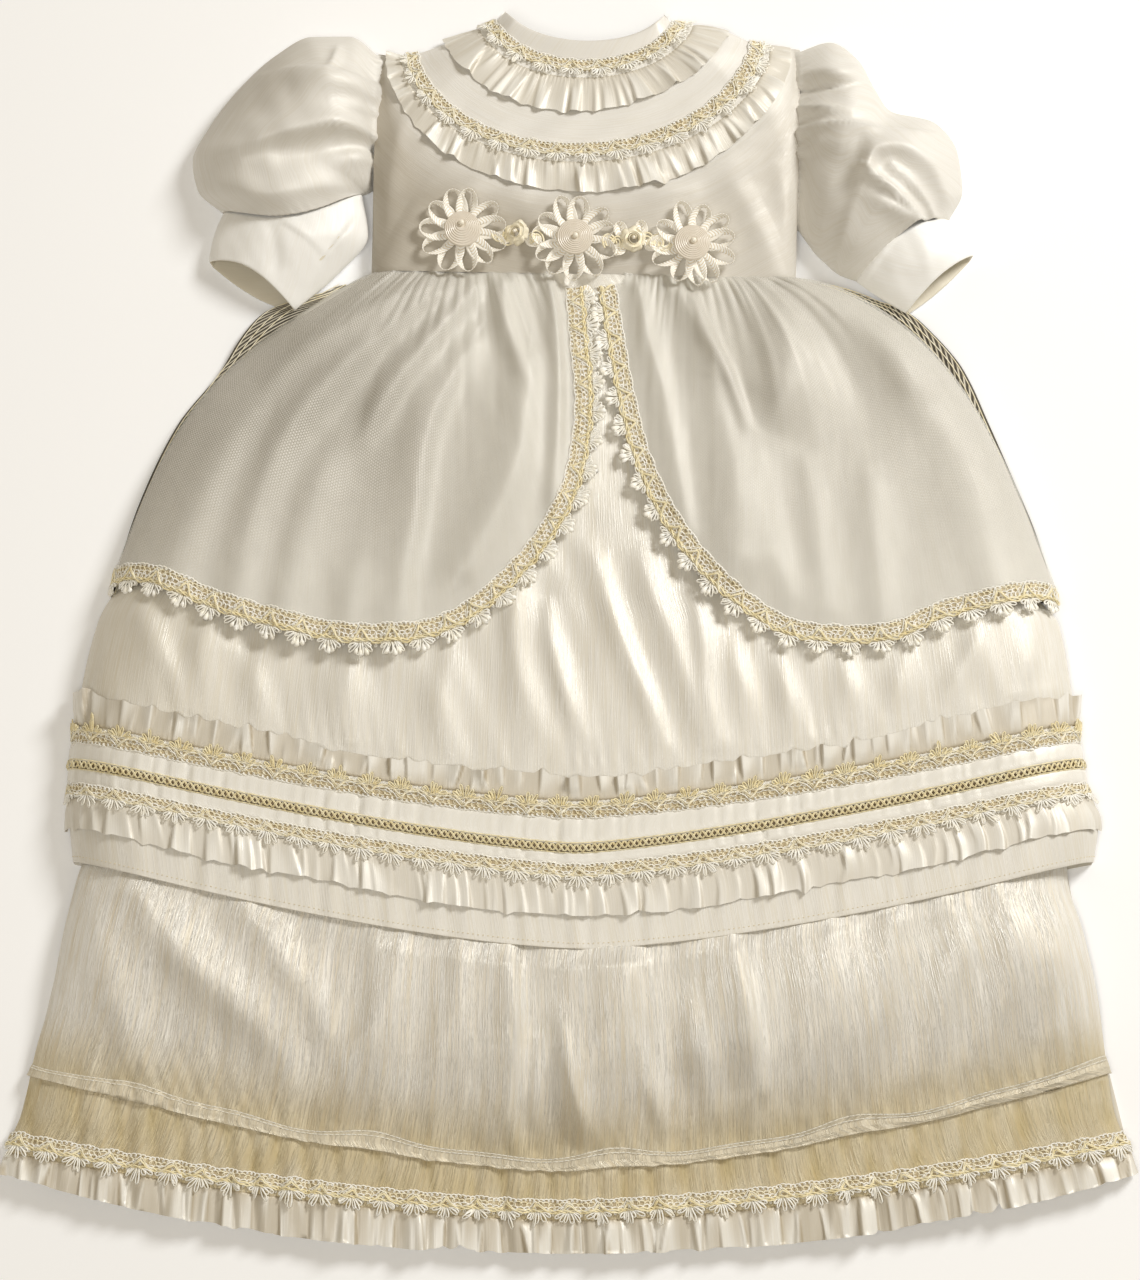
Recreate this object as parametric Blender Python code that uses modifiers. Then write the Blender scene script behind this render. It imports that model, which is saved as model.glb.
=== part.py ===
"""Christening gown laid on its back: nested silk skirts, a cutaway net overskirt, a short bodice
with two puff sleeves, pleated ruffles, braid, and three ribbon flowers with turned buttons.

Lengths are in millimetres and become metres in the meshes. +X is to the right of someone who looks
down on the gown, +Y runs from hem to neck, and the back of the gown lies on the plane Z = 0.
"""
import math

import bmesh
import bpy
import numpy as np

MM = 0.001

# ---------------------------------------------------------------- driving dimensions
SILK_WALL = 1.2          # every silk panel
BACK_WALL = 1.0          # the panels that lie on the table
TRIM_WALL = 1.0          # ruffles
BRAID_WALL = 1.3
SEAM_GAP = 0.35          # between pieces that are sewn together
TRIM_GAP = 0.6           # between a panel and the trim that lies on it
LAYER_STEP = BACK_WALL + 0.3   # from one back panel up to the next
LAYER_DROP = 3.0         # from one front panel down to the next
EDGE_LIFT = 0.85         # from a back panel up to the front panel's side edge

WAIST_LEFT = (-125.0, 211.5)
WAIST_RIGHT = (142.0, 206.0)
WAIST_SPLIT = (-10.0, 33.0)      # where the silk of each overskirt front ends, inside its braid

BRAID_WIDTH = 11.5
BRAID_DROP = 7.0         # length of the looped drops below the overskirt's braid
DROP_PITCH = 18.0
DROP_FADE = 0.22         # share of the edge, next to the waist, where the drops grow short
FLAT_COLUMNS = 20        # columns of a front panel between its two rolled sides
SIDE_ROLL = (0.0, 0.05, 0.16, 0.36, 0.66, 1.0)   # stations across a side's roll, as shares of it

# Height of the outermost front layer above the table, and the width of the roll at each side
# (y, height, roll)
DOME = np.array([
    (212.0, 16.5, 18.0),
    (190.0, 20.0, 60.0),
    (150.0, 28.0, 66.0),
    (100.0, 33.0, 58.0),
    (40.0, 36.0, 52.0),
    (-30.0, 36.5, 50.0),
    (-110.0, 36.0, 50.0),
    (-214.0, 33.5, 50.0),
    (-240.0, 31.0, 50.0),
    (-290.0, 25.5, 46.0),
    (-340.0, 20.0, 42.0),
    (-376.0, 16.5, 40.0),
    (-392.0, 14.5, 40.0),
])

# Side edges of each tube of cloth (y, left x, right x), from waist to hem
SKIRT_SIDES = np.array([
    (208.0, -111.0, 128.0),
    (190.0, -146.0, 172.0),
    (150.0, -194.0, 218.0),
    (100.0, -233.0, 243.0),
    (50.0, -253.0, 260.0),
    (15.0, -263.0, 272.0),
    (-50.0, -287.0, 296.0),
    (-112.0, -294.0, 303.0),
    (-150.0, -292.0, 300.0),
    (-168.0, -297.0, 300.0),
    (-200.0, -304.0, 308.0),
    (-242.0, -311.0, 316.0),
    (-274.0, -319.0, 319.0),
    (-307.0, -325.0, 323.0),
    (-330.0, -333.0, 331.0),
    (-350.0, -335.0, 336.0),
])
TIER_SIDES = np.array([
    (208.0, -118.0, 135.0),
    (190.0, -156.0, 182.0),
    (150.0, -204.0, 228.0),
    (100.0, -242.0, 252.0),
    (50.0, -261.0, 268.0),
    (15.0, -271.0, 280.0),
    (3.0, -283.0, 288.0),
    (-12.0, -290.0, 300.0),
    (-50.0, -298.0, 306.0),
    (-112.0, -304.0, 313.0),
    (-135.0, -303.0, 320.0),
    (-160.0, -300.0, 316.0),
])
OVERSKIRT_BACK_SIDES = np.array([
    (208.0, -126.0, 143.0),
    (200.0, -160.0, 178.0),
    (190.0, -189.0, 209.0),
    (175.0, -203.0, 226.0),
    (150.0, -218.0, 246.0),
    (117.0, -243.0, 260.0),
    (79.0, -261.0, 275.0),
    (47.0, -272.0, 287.0),
    (0.0, -283.0, 300.0),
])

# Lines across a front panel (name, y at the middle, rise to the sides, power of that rise)
SKIRT_LINES = (
    ("waist", 208.0, 0.0, 1.0),
    ("under_1", 140.0, 0.0, 1.0),
    ("under_2", 60.0, 0.0, 1.0),
    ("under_3", -30.0, 0.0, 1.0),
    ("under_4", -110.0, 18.0, 1.5),
    ("under_5", -170.0, 36.0, 1.5),
    ("below_tier", -206.0, 50.0, 1.5),
    ("visible_1", -228.0, 54.0, 1.5),
    ("visible_2", -252.0, 56.0, 1.5),
    ("visible_3", -280.0, 57.0, 1.5),
    ("visible_4", -310.0, 57.0, 1.6),
    ("tuck_stitch", -335.0, 57.0, 1.6),
    ("tuck_lip", -343.5, 57.0, 1.6),
    ("tuck_under", -346.0, 56.5, 1.6),
    ("braid_top", -360.0, 40.0, 1.6),
    ("braid_bottom", -371.5, 40.0, 1.6),
    ("hem", -377.0, 40.5, 1.7),
    ("ruffle_end", -391.0, 46.0, 2.2),
)
TIER_LINES = (
    ("waist", 208.0, 0.0, 1.0),
    ("under_1", 140.0, 0.0, 1.0),
    ("under_2", 80.0, 0.0, 1.0),
    ("under_3", 30.0, 0.0, 1.0),
    ("visible_1", -12.0, 6.0, 1.6),
    ("visible_2", -45.0, 26.0, 1.6),
    ("visible_3", -78.0, 42.0, 1.6),
    ("ruffle_up_end", -111.0, 55.0, 1.6),
    ("braid_up_top", -125.0, 50.0, 1.45),
    ("braid_up_bottom", -137.0, 50.0, 1.45),
    ("faggot_top", -152.5, 55.0, 1.35),
    ("faggot_bottom", -157.0, 55.0, 1.35),
    ("braid_low_top", -164.0, 53.0, 1.35),
    ("braid_low_bottom", -176.0, 54.0, 1.35),
    ("ruffle_low_end", -196.0, 57.0, 1.4),
    ("hem", -214.0, 55.0, 1.5),
)
# Lines across a back panel (name, y at the middle, rise to the sides, height of the underside)
BACK_LINES = {
    "skirt_back": (
        ("waist", 208.0, 0.0, 2 * LAYER_STEP),
        ("middle", 100.0, 0.0, 2 * LAYER_STEP),
        ("above_overskirt_hem", 0.0, 0.0, 2 * LAYER_STEP),
        ("below_overskirt_hem", -18.0, 0.0, LAYER_STEP),
        ("above_tier_hem", -203.0, 40.0, LAYER_STEP),
        ("below_tier_hem", -221.0, 40.0, 0.0),
        ("lower", -300.0, 30.0, 0.0),
        ("hem", -372.0, 30.0, 0.0),
    ),
    "tier_back": (
        ("waist", 208.0, 0.0, LAYER_STEP),
        ("middle", 100.0, 0.0, LAYER_STEP),
        ("above_overskirt_hem", 0.0, 0.0, LAYER_STEP),
        ("below_overskirt_hem", -18.0, 0.0, 0.0),
        ("lower", -110.0, 20.0, 0.0),
        ("hem", -200.0, 40.0, 0.0),
    ),
    "overskirt_back": (
        ("waist", 208.0, 0.0, 0.0),
        ("upper", 200.0, 0.0, 0.0),
        ("net_corner", 188.0, 0.0, 0.0),
        ("middle", 150.0, 0.0, 0.0),
        ("lower", 70.0, 0.0, 0.0),
        ("hem", 8.0, 0.0, 0.0),
    ),
}

# Creases (x start, y start, x end, y end, height in the middle, half width)
TIER_CREASES = (
    (16.0, 30.0, 38.0, -100.0, 5.0, 14.0),
    (82.0, -4.0, 70.0, -92.0, 4.5, 15.0),
    (122.0, -34.0, 124.0, -104.0, 3.5, 13.0),
    (-10.0, 10.0, -16.0, -104.0, 4.0, 14.0),
    (-48.0, -20.0, -40.0, -104.0, 4.5, 13.0),
    (-98.0, -44.0, -104.0, -96.0, 3.0, 13.0),
    (-145.0, -44.0, -162.0, -88.0, 3.5, 14.0),
    (-200.0, -26.0, -218.0, -78.0, 3.5, 13.0),
    (-252.0, -6.0, -268.0, -62.0, 3.0, 12.0),
    (170.0, -44.0, 166.0, -92.0, 3.0, 13.0),
    (212.0, -36.0, 202.0, -82.0, 3.5, 14.0),
    (262.0, -20.0, 250.0, -70.0, 3.0, 13.0),
)
SKIRT_CREASES = (
    (-270.0, -184.0, -150.0, -322.0, 4.0, 16.0),
    (-205.0, -205.0, -215.0, -300.0, 3.0, 15.0),
    (-92.0, -228.0, -100.0, -322.0, 3.5, 14.0),
    (-38.0, -224.0, -42.0, -334.0, 6.0, 13.0),
    (30.0, -226.0, 78.0, -330.0, 5.0, 17.0),
    (112.0, -220.0, 106.0, -318.0, 4.5, 15.0),
    (172.0, -205.0, 162.0, -312.0, 3.5, 14.0),
    (205.0, -198.0, 224.0, -304.0, 3.5, 16.0),
    (276.0, -186.0, 288.0, -296.0, 3.0, 14.0),
)
TUCK_RISE = 3.0

# The overskirt's fronts: the hem and front edge as one line from the side seam to the waist
OVERSKIRT_LEFT_EDGE = (
    (-281.0, 12.0), (-254.0, 7.0), (-207.0, -13.0), (-150.0, -28.0), (-118.0, -31.0),
    (-84.0, -27.0), (-54.0, -12.0), (-20.0, 21.0), (3.0, 59.0), (12.5, 98.0), (14.0, 130.0),
    (11.0, 165.0), (8.5, 200.0),
)
OVERSKIRT_RIGHT_EDGE = (
    (299.0, -1.0), (280.0, -2.0), (253.0, -9.0), (226.0, -16.0), (199.0, -28.0), (169.0, -31.0),
    (133.0, -27.0), (103.0, -10.0), (79.0, 12.0), (55.0, 46.0), (38.0, 86.0), (29.0, 124.0),
    (23.0, 160.0), (17.5, 200.0),
)
OVERSKIRT_SIDE_BULGE = {"left": (30.0, 1.0), "right": (38.0, 0.75)}   # depth, skew to the waist
OVERSKIRT_ROWS = (0.0, 0.07, 0.17, 0.30, 0.45, 0.62, 0.80, 1.0)       # shares of a column
GATHER_RISE = 2.4        # small gathers at the waist
GATHER_FADE = 0.38       # share of the column in which they die out
FRONT_EDGE_CALM = 0.12   # share of the edge, next to the waist, where the silk lies smooth
# Large folds: place along the edge from side seam to front, height at waist, middle and hem, width
OVERSKIRT_FOLDS = {
    "left": (
        (0.16, 1.5, 2.6, 1.0, 0.030),
        (0.27, 2.0, 4.2, 1.8, 0.034),
        (0.40, 2.6, 4.6, 2.2, 0.036),
        (0.53, 2.2, 5.0, 2.6, 0.036),
        (0.65, 2.6, 3.8, 1.6, 0.034),
        (0.80, 2.0, 2.4, 1.0, 0.034),
    ),
    "right": (
        (0.14, 1.5, 2.6, 1.0, 0.030),
        (0.25, 2.0, 4.0, 1.6, 0.034),
        (0.37, 2.6, 4.8, 2.4, 0.036),
        (0.50, 2.2, 4.2, 1.8, 0.036),
        (0.62, 2.6, 4.6, 2.2, 0.036),
        (0.78, 2.0, 3.0, 1.2, 0.034),
    ),
}

# The bodice: arched lines from shoulder to shoulder, round the neck and outwards
# (name, left x, left y, right x, right y, lowest y, height at the front)
YOKE_LINES = (
    ("neck_seam", -47.0, 385.0, 65.0, 383.5, 350.0, 21.5),
    ("neck_braid", -57.0, 379.0, 78.0, 381.0, 338.0, 23.0),
    ("neck_ruffle", -79.0, 369.0, 100.0, 377.0, 315.0, 24.5),
    ("yoke_top", -96.0, 362.5, 114.0, 370.5, 293.0, 25.0),
    ("yoke_braid", -107.0, 360.5, 127.0, 367.5, 281.5, 25.0),
    ("yoke_ruffle", -117.5, 361.0, 141.0, 365.5, 260.0, 24.0),
)
BODICE_COLUMNS = 24
ARMHOLE_COLUMNS = 6            # columns that end on each armhole
BODICE_BLEND = (0.42, 0.82)    # rows between the yoke's ruffle and the edge
SHOULDER_TIPS = ((-122.5, 361.5), (147.0, 364.5))
SHOULDER_RISE = (0.11, 0.50, 0.76, 0.92, 1.0)   # share of the height, column by column
ARMHOLE_HEIGHTS = (2.8, 11.0, 15.0, 15.0, 10.0, 5.0, 3.2)
BODICE_BACK_GAP = 0.6

# The neck band
NECK_BAND_TOP = (-41.5, 390.0, 60.5, 387.5, 362.0)   # left x, y, right x, y, lowest y
NECK_BAND_RISE = (2.0, 5.0)                          # at the sides, at the front
NECK_BAND_SIDE_HEIGHT = 5.0                           # where the band turns to the back
NECK_BAND_TURN = 2.0                                  # how far that turn stands past the seam
NECK_BAND_CLEAR = 0.7                                 # from the bodice's neck line inwards

# Sleeves and cuffs: flattened rings, from the armhole to the mouth
# (outer x, outer y, inner x, inner y, height, floor, bow of the front, bow of the underside)
SLEEVE_RINGS = {
    "left": (
        (-123.2, 360.0, -124.8, 268.0, 17.0, 0.0, 0.0, 0.0),
        (-141.0, 372.0, -125.9, 267.2, 29.0, 0.0, 0.0, 0.0),
        (-165.0, 371.5, -126.8, 266.6, 37.0, 0.0, 0.0, 0.0),
        (-188.0, 358.5, -127.6, 266.2, 41.0, 0.0, 0.0, 0.0),
        (-209.0, 338.0, -128.4, 265.9, 42.0, 0.0, 0.0, 0.0),
        (-228.0, 312.0, -129.1, 265.6, 40.0, 0.0, 0.0, 0.0),
        (-239.0, 288.0, -129.8, 265.4, 36.0, 0.4, -5.0, -3.0),
        (-235.0, 267.5, -130.4, 265.3, 31.0, 1.0, -11.0, -8.0),
        (-219.0, 253.0, -130.9, 265.2, 27.0, 1.6, -15.0, -13.0),
    ),
    "right": (
        (147.7, 362.5, 143.9, 242.0, 17.0, 0.0, 0.0, 0.0),
        (166.0, 368.0, 149.0, 234.0, 29.0, 0.0, 0.0, 0.0),
        (184.0, 355.5, 155.0, 225.5, 36.0, 0.0, 0.0, 0.0),
        (194.0, 336.0, 161.0, 219.5, 38.0, 0.0, 0.0, 0.0),
        (204.0, 321.0, 165.0, 215.5, 41.0, 0.0, 0.0, 0.0),
        (230.0, 314.0, 169.0, 212.5, 42.0, 0.0, 0.0, 0.0),
        (245.5, 293.0, 173.0, 210.5, 38.0, 0.4, 2.0, 0.0),
        (248.0, 268.0, 176.5, 209.0, 32.0, 1.0, 5.0, 0.0),
        (239.0, 248.0, 179.5, 207.8, 27.0, 1.6, 7.0, 0.0),
    ),
}
CUFF_RINGS = {
    "left": (
        (-218.6, 252.4, -131.1, 264.4, 26.5, 1.6, -15.0, -13.0),
        (-222.5, 243.0, -127.0, 238.0, 27.0, 1.8, -7.0, -7.0),
        (-225.5, 232.0, -146.0, 212.0, 25.0, 1.8, 1.0, -5.0),
        (-227.0, 221.0, -172.0, 189.0, 21.0, 1.8, 8.0, -5.0),
    ),
    "right": (
        (239.6, 247.2, 180.0, 207.1, 26.5, 1.6, 7.0, 0.0),
        (244.5, 240.0, 190.0, 199.5, 27.0, 1.8, 5.0, -1.0),
        (249.5, 232.5, 200.0, 193.0, 25.0, 1.8, 4.0, -2.0),
        (253.5, 225.0, 210.0, 187.0, 21.0, 1.8, 3.0, -3.0),
    ),
}
RING_POINTS = 18

# Ruffles: number of waves in each, and how far a wave stands out at the free edge
NECK_WAVES = 18
YOKE_WAVES = 30
BAND_WAVES = 43
HEM_WAVES = 46
RUFFLE_RISE = 3.6
HEM_RUFFLE_RISE = 3.0
RUFFLE_SWAY = 1.3        # how far the free edge swings along the panel

# Ribbon flowers on the waist (name, x, y, height of the foot, rise towards the neck)
FLOWERS = (
    ("left", -67.0, 235.0, 23.25, 0.09),
    ("middle", 3.0, 230.0, 23.2, 0.09),
    ("right", 76.0, 226.0, 23.4, 0.04),
)
FLOWER_PETALS = 10
FLOWER_RADIUS = 27.0
FLOWER_HUB = 8.5
RIBBON_WIDTH = 4.0       # the ribbon stands on its edge
PETAL_HALF_WIDTH = 4.6
BUTTON_RADIUS = 11.5
BUTTON_HEIGHT = 6.5
BUTTON_STEPS = 20
BUTTON_GAP = 0.35        # between the ribbon and the button
ROSES = (
    ("left", -32.0, 233.0, 23.2, 0.09),
    ("right", 39.0, 229.5, 23.0, 0.09),
)
ROSE_RADIUS = 6.5
ROSE_HEIGHT = 8.0

SILK = ("silk", (0.86, 0.81, 0.68), 0.42)
SILK_BACK = ("silk_back", (0.80, 0.75, 0.62), 0.5)
NET = ("net_over_silk", (0.84, 0.80, 0.70), 0.55)
BRAID = ("braid", (0.82, 0.72, 0.48), 0.6)
RIBBON = ("ribbon", (0.90, 0.85, 0.72), 0.4)
SHELL_BUTTON = ("button", (0.88, 0.80, 0.64), 0.25)


# ---------------------------------------------------------------- small helpers
def table_at(table, y, column):
    """Read one column of a table whose first column falls from waist to hem."""
    return np.interp(-np.asarray(y, float), -table[:, 0], table[:, column])


def quarter_round(share):
    """Height share of a rounded side at a share of the roll's width."""
    inside = np.clip(1.0 - np.asarray(share, float), 0.0, 1.0)
    return np.sqrt(1.0 - inside ** 2)


def smooth_curve(points, shares):
    """Points at shares of the length of a Catmull-Rom curve through the given points."""
    pts = np.array(points, float)
    ends = np.vstack((2 * pts[0] - pts[1], pts, 2 * pts[-1] - pts[-2]))
    t = np.linspace(0.0, 1.0, 24, endpoint=False)[:, None]
    spans = []
    for k in range(len(pts) - 1):
        a, b, c, d = ends[k:k + 4]
        spans.append(0.5 * (2 * b + (c - a) * t + (2 * a - 5 * b + 4 * c - d) * t ** 2
                            + (3 * b - 3 * c + d - a) * t ** 3))
    dense = np.vstack(spans + [pts[-1:]])
    length = np.concatenate(([0.0], np.cumsum(np.linalg.norm(np.diff(dense, axis=0), axis=1))))
    wanted = np.asarray(shares, float) * length[-1]
    return np.column_stack([np.interp(wanted, length, dense[:, k]) for k in range(2)]), length[-1]


def grid_normals(grid):
    """Unit normals of a grid whose rows run towards the hem and whose columns run to +X."""
    down = np.gradient(grid, axis=0)
    across = np.gradient(grid, axis=1)
    normal = np.cross(down, across)
    return normal / np.linalg.norm(normal, axis=2, keepdims=True)


def sample(grid, rows, columns):
    """Points and normals of a grid at fractional rows and columns."""
    rows, columns = np.broadcast_arrays(np.asarray(rows, float), np.asarray(columns, float))
    normals = grid_normals(grid)
    top = np.clip(np.floor(rows).astype(int), 0, grid.shape[0] - 2)
    left = np.clip(np.floor(columns).astype(int), 0, grid.shape[1] - 2)
    v = (rows - top)[..., None]
    u = (columns - left)[..., None]
    result = []
    for field in (grid, normals):
        upper = field[top, left] * (1 - u) + field[top, left + 1] * u
        lower = field[top + 1, left] * (1 - u) + field[top + 1, left + 1] * u
        result.append(upper * (1 - v) + lower * v)
    return result


def even_columns(grid, row, count):
    """Fractional columns that are evenly spaced by length along one row."""
    line, _ = sample(grid, row, np.arange(grid.shape[1]))
    length = np.concatenate(([0.0], np.cumsum(np.linalg.norm(np.diff(line, axis=0), axis=1))))
    return np.interp(np.linspace(0.0, length[-1], count), length, np.arange(grid.shape[1]))


def crease_height(x, y, creases):
    """Sum of soft ridges, each a bell across its line that dies out at both ends."""
    height = np.zeros_like(x)
    for x0, y0, x1, y1, rise, half in creases:
        run = np.array((x1 - x0, y1 - y0))
        length = np.hypot(*run)
        along = ((x - x0) * run[0] + (y - y0) * run[1]) / length ** 2
        off = ((x - x0) * run[1] - (y - y0) * run[0]) / length
        height += rise * np.sin(np.pi * np.clip(along, 0, 1)) ** 0.7 * np.exp(-(off / half * 1.5) ** 2)
    return height


# ---------------------------------------------------------------- scene and mesh makers
def clear_scene():
    for old in list(bpy.data.objects):
        bpy.data.objects.remove(old, do_unlink=True)


def material(finish):
    name, colour, roughness = finish
    found = bpy.data.materials.get(name)
    if found:
        return found
    made = bpy.data.materials.new(name)
    made.use_nodes = True
    shader = made.node_tree.nodes["Principled BSDF"]
    shader.inputs["Base Color"].default_value = (*colour, 1.0)
    shader.inputs["Roughness"].default_value = roughness
    shader.inputs["Metallic"].default_value = 0.0
    return made


def new_object(name, mesh, finish):
    mesh.materials.append(material(finish))
    made = bpy.data.objects.new(name, mesh)
    bpy.data.collections["christening_gown"].objects.link(made)
    mesh.shade_smooth()
    return made


def cloth(name, grid, wall, finish, ring=False):
    """A grid of outer points with a Solidify wall behind it; a ring closes on itself."""
    rows, columns = grid.shape[:2]
    shell = bmesh.new()
    verts = [[shell.verts.new(point * MM) for point in row] for row in grid]
    for i in range(rows - 1):
        for j in range(columns if ring else columns - 1):
            k = (j + 1) % columns
            shell.faces.new((verts[i][j], verts[i + 1][j], verts[i + 1][k], verts[i][k]))
    mesh = bpy.data.meshes.new(name)
    shell.to_mesh(mesh)
    shell.free()
    made = new_object(name, mesh, finish)
    solid = made.modifiers.new("wall", "SOLIDIFY")
    solid.thickness = wall * MM
    solid.offset = -1.0
    return made


# ---------------------------------------------------------------- skirts
def across_stations(middle_columns):
    """Columns of a front panel: a rolled left side, a flat middle and a rolled right side."""
    left = [("left", share) for share in SIDE_ROLL]
    flat = [("flat", k / middle_columns) for k in range(1, middle_columns)]
    right = [("right", share) for share in reversed(SIDE_ROLL)]
    return left + flat + right


def waist_y(x):
    """The waist seam, which slopes a little."""
    return np.interp(x, (WAIST_LEFT[0], WAIST_RIGHT[0]), (WAIST_LEFT[1], WAIST_RIGHT[1]))


def front_grid(lines, sides, layer, creases):
    """Outer points of a front panel: curved lines across, the dome's height, rolled sides."""
    rest = layer * LAYER_STEP + BACK_WALL + EDGE_LIFT
    rows = []
    for name, middle_y, rise, power in lines:
        side_y = middle_y + rise
        left_x = table_at(sides, side_y, 1)
        right_x = table_at(sides, side_y, 2)
        roll = table_at(DOME, side_y, 2)
        x = []
        for zone, share in across_stations(FLAT_COLUMNS):
            if zone == "left":
                x.append(left_x + share * roll)
            elif zone == "right":
                x.append(right_x - share * roll)
            else:
                x.append(left_x + roll + share * (right_x - left_x - 2 * roll))
        x = np.array(x)
        across = (2 * x - left_x - right_x) / (right_x - left_x)
        y = middle_y + rise * np.abs(across) ** power
        if name == "waist":
            y = waist_y(x) - SEAM_GAP
        height = table_at(DOME, y, 1) - layer * LAYER_DROP - rest
        rounded = quarter_round((x - left_x) / roll) * quarter_round((right_x - x) / roll)
        z = rest + rounded * (height + crease_height(x, y, creases))
        rows.append(np.column_stack((x, y, z)))
    return np.array(rows)


def line_number(lines, name):
    return [line[0] for line in lines].index(name)


def build_back(name, sides):
    """A flat back panel that steps down to the table past the hem of the layer outside it."""
    rows = []
    for line, middle_y, rise, floor in BACK_LINES[name]:
        side_y = middle_y + rise
        left_x = table_at(sides, side_y, 1)
        right_x = table_at(sides, side_y, 2)
        x = np.linspace(left_x, right_x, 11)
        across = np.linspace(-1.0, 1.0, 11)
        y = middle_y + rise * np.abs(across) ** 1.6
        if line == "waist":
            y = waist_y(x) - SEAM_GAP
        rows.append(np.column_stack((x, y, np.full(11, floor + BACK_WALL))))
    return cloth(name, np.array(rows), BACK_WALL, SILK_BACK)


def overskirt_grid(side):
    """Columns fan from the waist to the curved edge; the last rows hold the braid and its drops."""
    left = side == "left"
    edge_points = OVERSKIRT_LEFT_EDGE if left else OVERSKIRT_RIGHT_EDGE
    _, length = smooth_curve(edge_points, [0.0])
    roll = table_at(DOME, 0.0, 2)
    near = [share * roll / length for share in SIDE_ROLL[:-1]]
    shares = np.array(near + list(np.linspace(roll / length, 1.0, 15)))
    edge, _ = smooth_curve(edge_points, shares)
    ahead, _ = smooth_curve(edge_points, np.minimum(shares + 0.004, 1.0))
    behind, _ = smooth_curve(edge_points, np.maximum(shares - 0.004, 0.0))
    run = ahead - behind
    run /= np.linalg.norm(run, axis=1, keepdims=True)
    inward = np.column_stack((-run[:, 1], run[:, 0])) * (1.0 if left else -1.0)
    seam_side = np.array(WAIST_LEFT if left else WAIST_RIGHT)
    split_x = WAIST_SPLIT[0] if left else WAIST_SPLIT[1]
    split = np.array((split_x, waist_y(split_x)))
    waist = seam_side + (split - seam_side) * shares[:, None]
    waist[:, 1] -= SEAM_GAP
    braid_line = edge + inward * BRAID_WIDTH
    bulge, skew = OVERSKIRT_SIDE_BULGE[side]
    rows = []
    for t in OVERSKIRT_ROWS:
        chord = braid_line - waist
        unit = chord / np.linalg.norm(chord, axis=1, keepdims=True)
        outward = np.column_stack((unit[:, 1], -unit[:, 0])) * (1.0 if left else -1.0)
        push = bulge * math.sin(math.pi * t ** skew) * np.clip(1.0 - shares / 0.62, 0.0, 1.0)
        rows.append(waist + chord * t + outward * push[:, None])
    rows.append(edge)
    rows.append(edge - inward * BRAID_DROP)
    plan = np.array(rows)
    depth = np.concatenate((OVERSKIRT_ROWS, (1.0, 1.0)))[:, None]
    x, y = plan[..., 0], plan[..., 1]
    from_side = np.linalg.norm(plan - plan[:, :1], axis=2)
    width = np.interp(depth, (0.0, 0.2, 0.4), (roll * 0.32, roll * 0.8, roll))
    rounded = quarter_round(from_side / width)
    rest = BACK_WALL + EDGE_LIFT
    folds = np.zeros_like(x)
    for place, at_waist, at_middle, at_hem, half in OVERSKIRT_FOLDS[side]:
        bell = np.exp(-((shares - place) / half) ** 2)
        folds += bell * np.interp(depth, (0.0, 0.5, 1.0), (at_waist, at_middle, at_hem))
    gathers = np.where(np.arange(len(shares)) % 2 == 1, GATHER_RISE, 0.0)
    folds += gathers * np.clip(1.0 - depth / GATHER_FADE, 0.0, 1.0)
    folds *= np.clip((1.0 - shares) / FRONT_EDGE_CALM, 0.0, 1.0)
    z = rest + (table_at(DOME, y, 1) - rest) * rounded + folds * rounded
    grid = np.dstack((x, y, z))
    return grid if left else grid[:, ::-1]


def own_columns(grid, row, longest=None):
    """A panel's own columns, with even ones between where they are wider apart than longest."""
    columns = [0.0]
    line, _ = sample(grid, row, np.arange(grid.shape[1]))
    for k, span in enumerate(np.linalg.norm(np.diff(line, axis=0), axis=1)):
        parts = 1 if longest is None else max(1, round(span / longest))
        columns += [k + part / parts for part in range(1, parts + 1)]
    return np.array(columns)


def braid_on(name, grid, row_top, row_bottom, drops=None):
    """A strip of braid made from a panel's own points, moved out; drops reach past its edge."""
    columns = own_columns(grid, row_bottom, None if drops is None else DROP_PITCH / 2)
    stations = len(columns)
    reach = np.zeros(stations)
    if drops is not None:
        reach = np.where(np.arange(stations) % 2 == 1, drops(columns / columns[-1]), 0.0)
    lines = []
    for row in (np.full(stations, row_top), row_bottom + reach):
        point, normal = sample(grid, row, columns)
        lines.append(point + normal * (TRIM_GAP + BRAID_WALL))
    return cloth(name, np.array(lines), BRAID_WALL, BRAID)


def ruffle_on(name, grid, row_sewn, row_free, waves, rise=RUFFLE_RISE):
    """A pleated strip: flat where it is sewn, and waving out from the panel at its free edge."""
    columns = even_columns(grid, row_free, 2 * waves + 1)
    crest = np.arange(len(columns)) % 2
    # one more flat station at each end, where the panel rolls down to its side
    ends = (1, len(columns) - 1)
    columns = np.insert(columns, ends, ((columns[0] + columns[1]) / 2, (columns[-1] + columns[-2]) / 2))
    crest = np.insert(crest, ends, 0)
    uneven = 0.75 + 0.25 * np.sin(np.arange(len(columns)) * 2.3)
    sewn, sewn_normal = sample(grid, row_sewn, columns)
    free, free_normal = sample(grid, row_free, columns)
    slope = (free - sewn) / np.linalg.norm(free - sewn, axis=1, keepdims=True)
    sewn = sewn + sewn_normal * (TRIM_GAP + TRIM_WALL + 0.8 * crest[:, None])
    lift = TRIM_GAP + TRIM_WALL + 0.4 + rise * crest * uneven
    free = free + free_normal * lift[:, None] - slope * (RUFFLE_SWAY * crest * uneven)[:, None]
    downwards = row_free > row_sewn
    lines = (sewn, free) if downwards else (free, sewn)
    return cloth(name, np.array(lines), TRIM_WALL, SILK)


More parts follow.
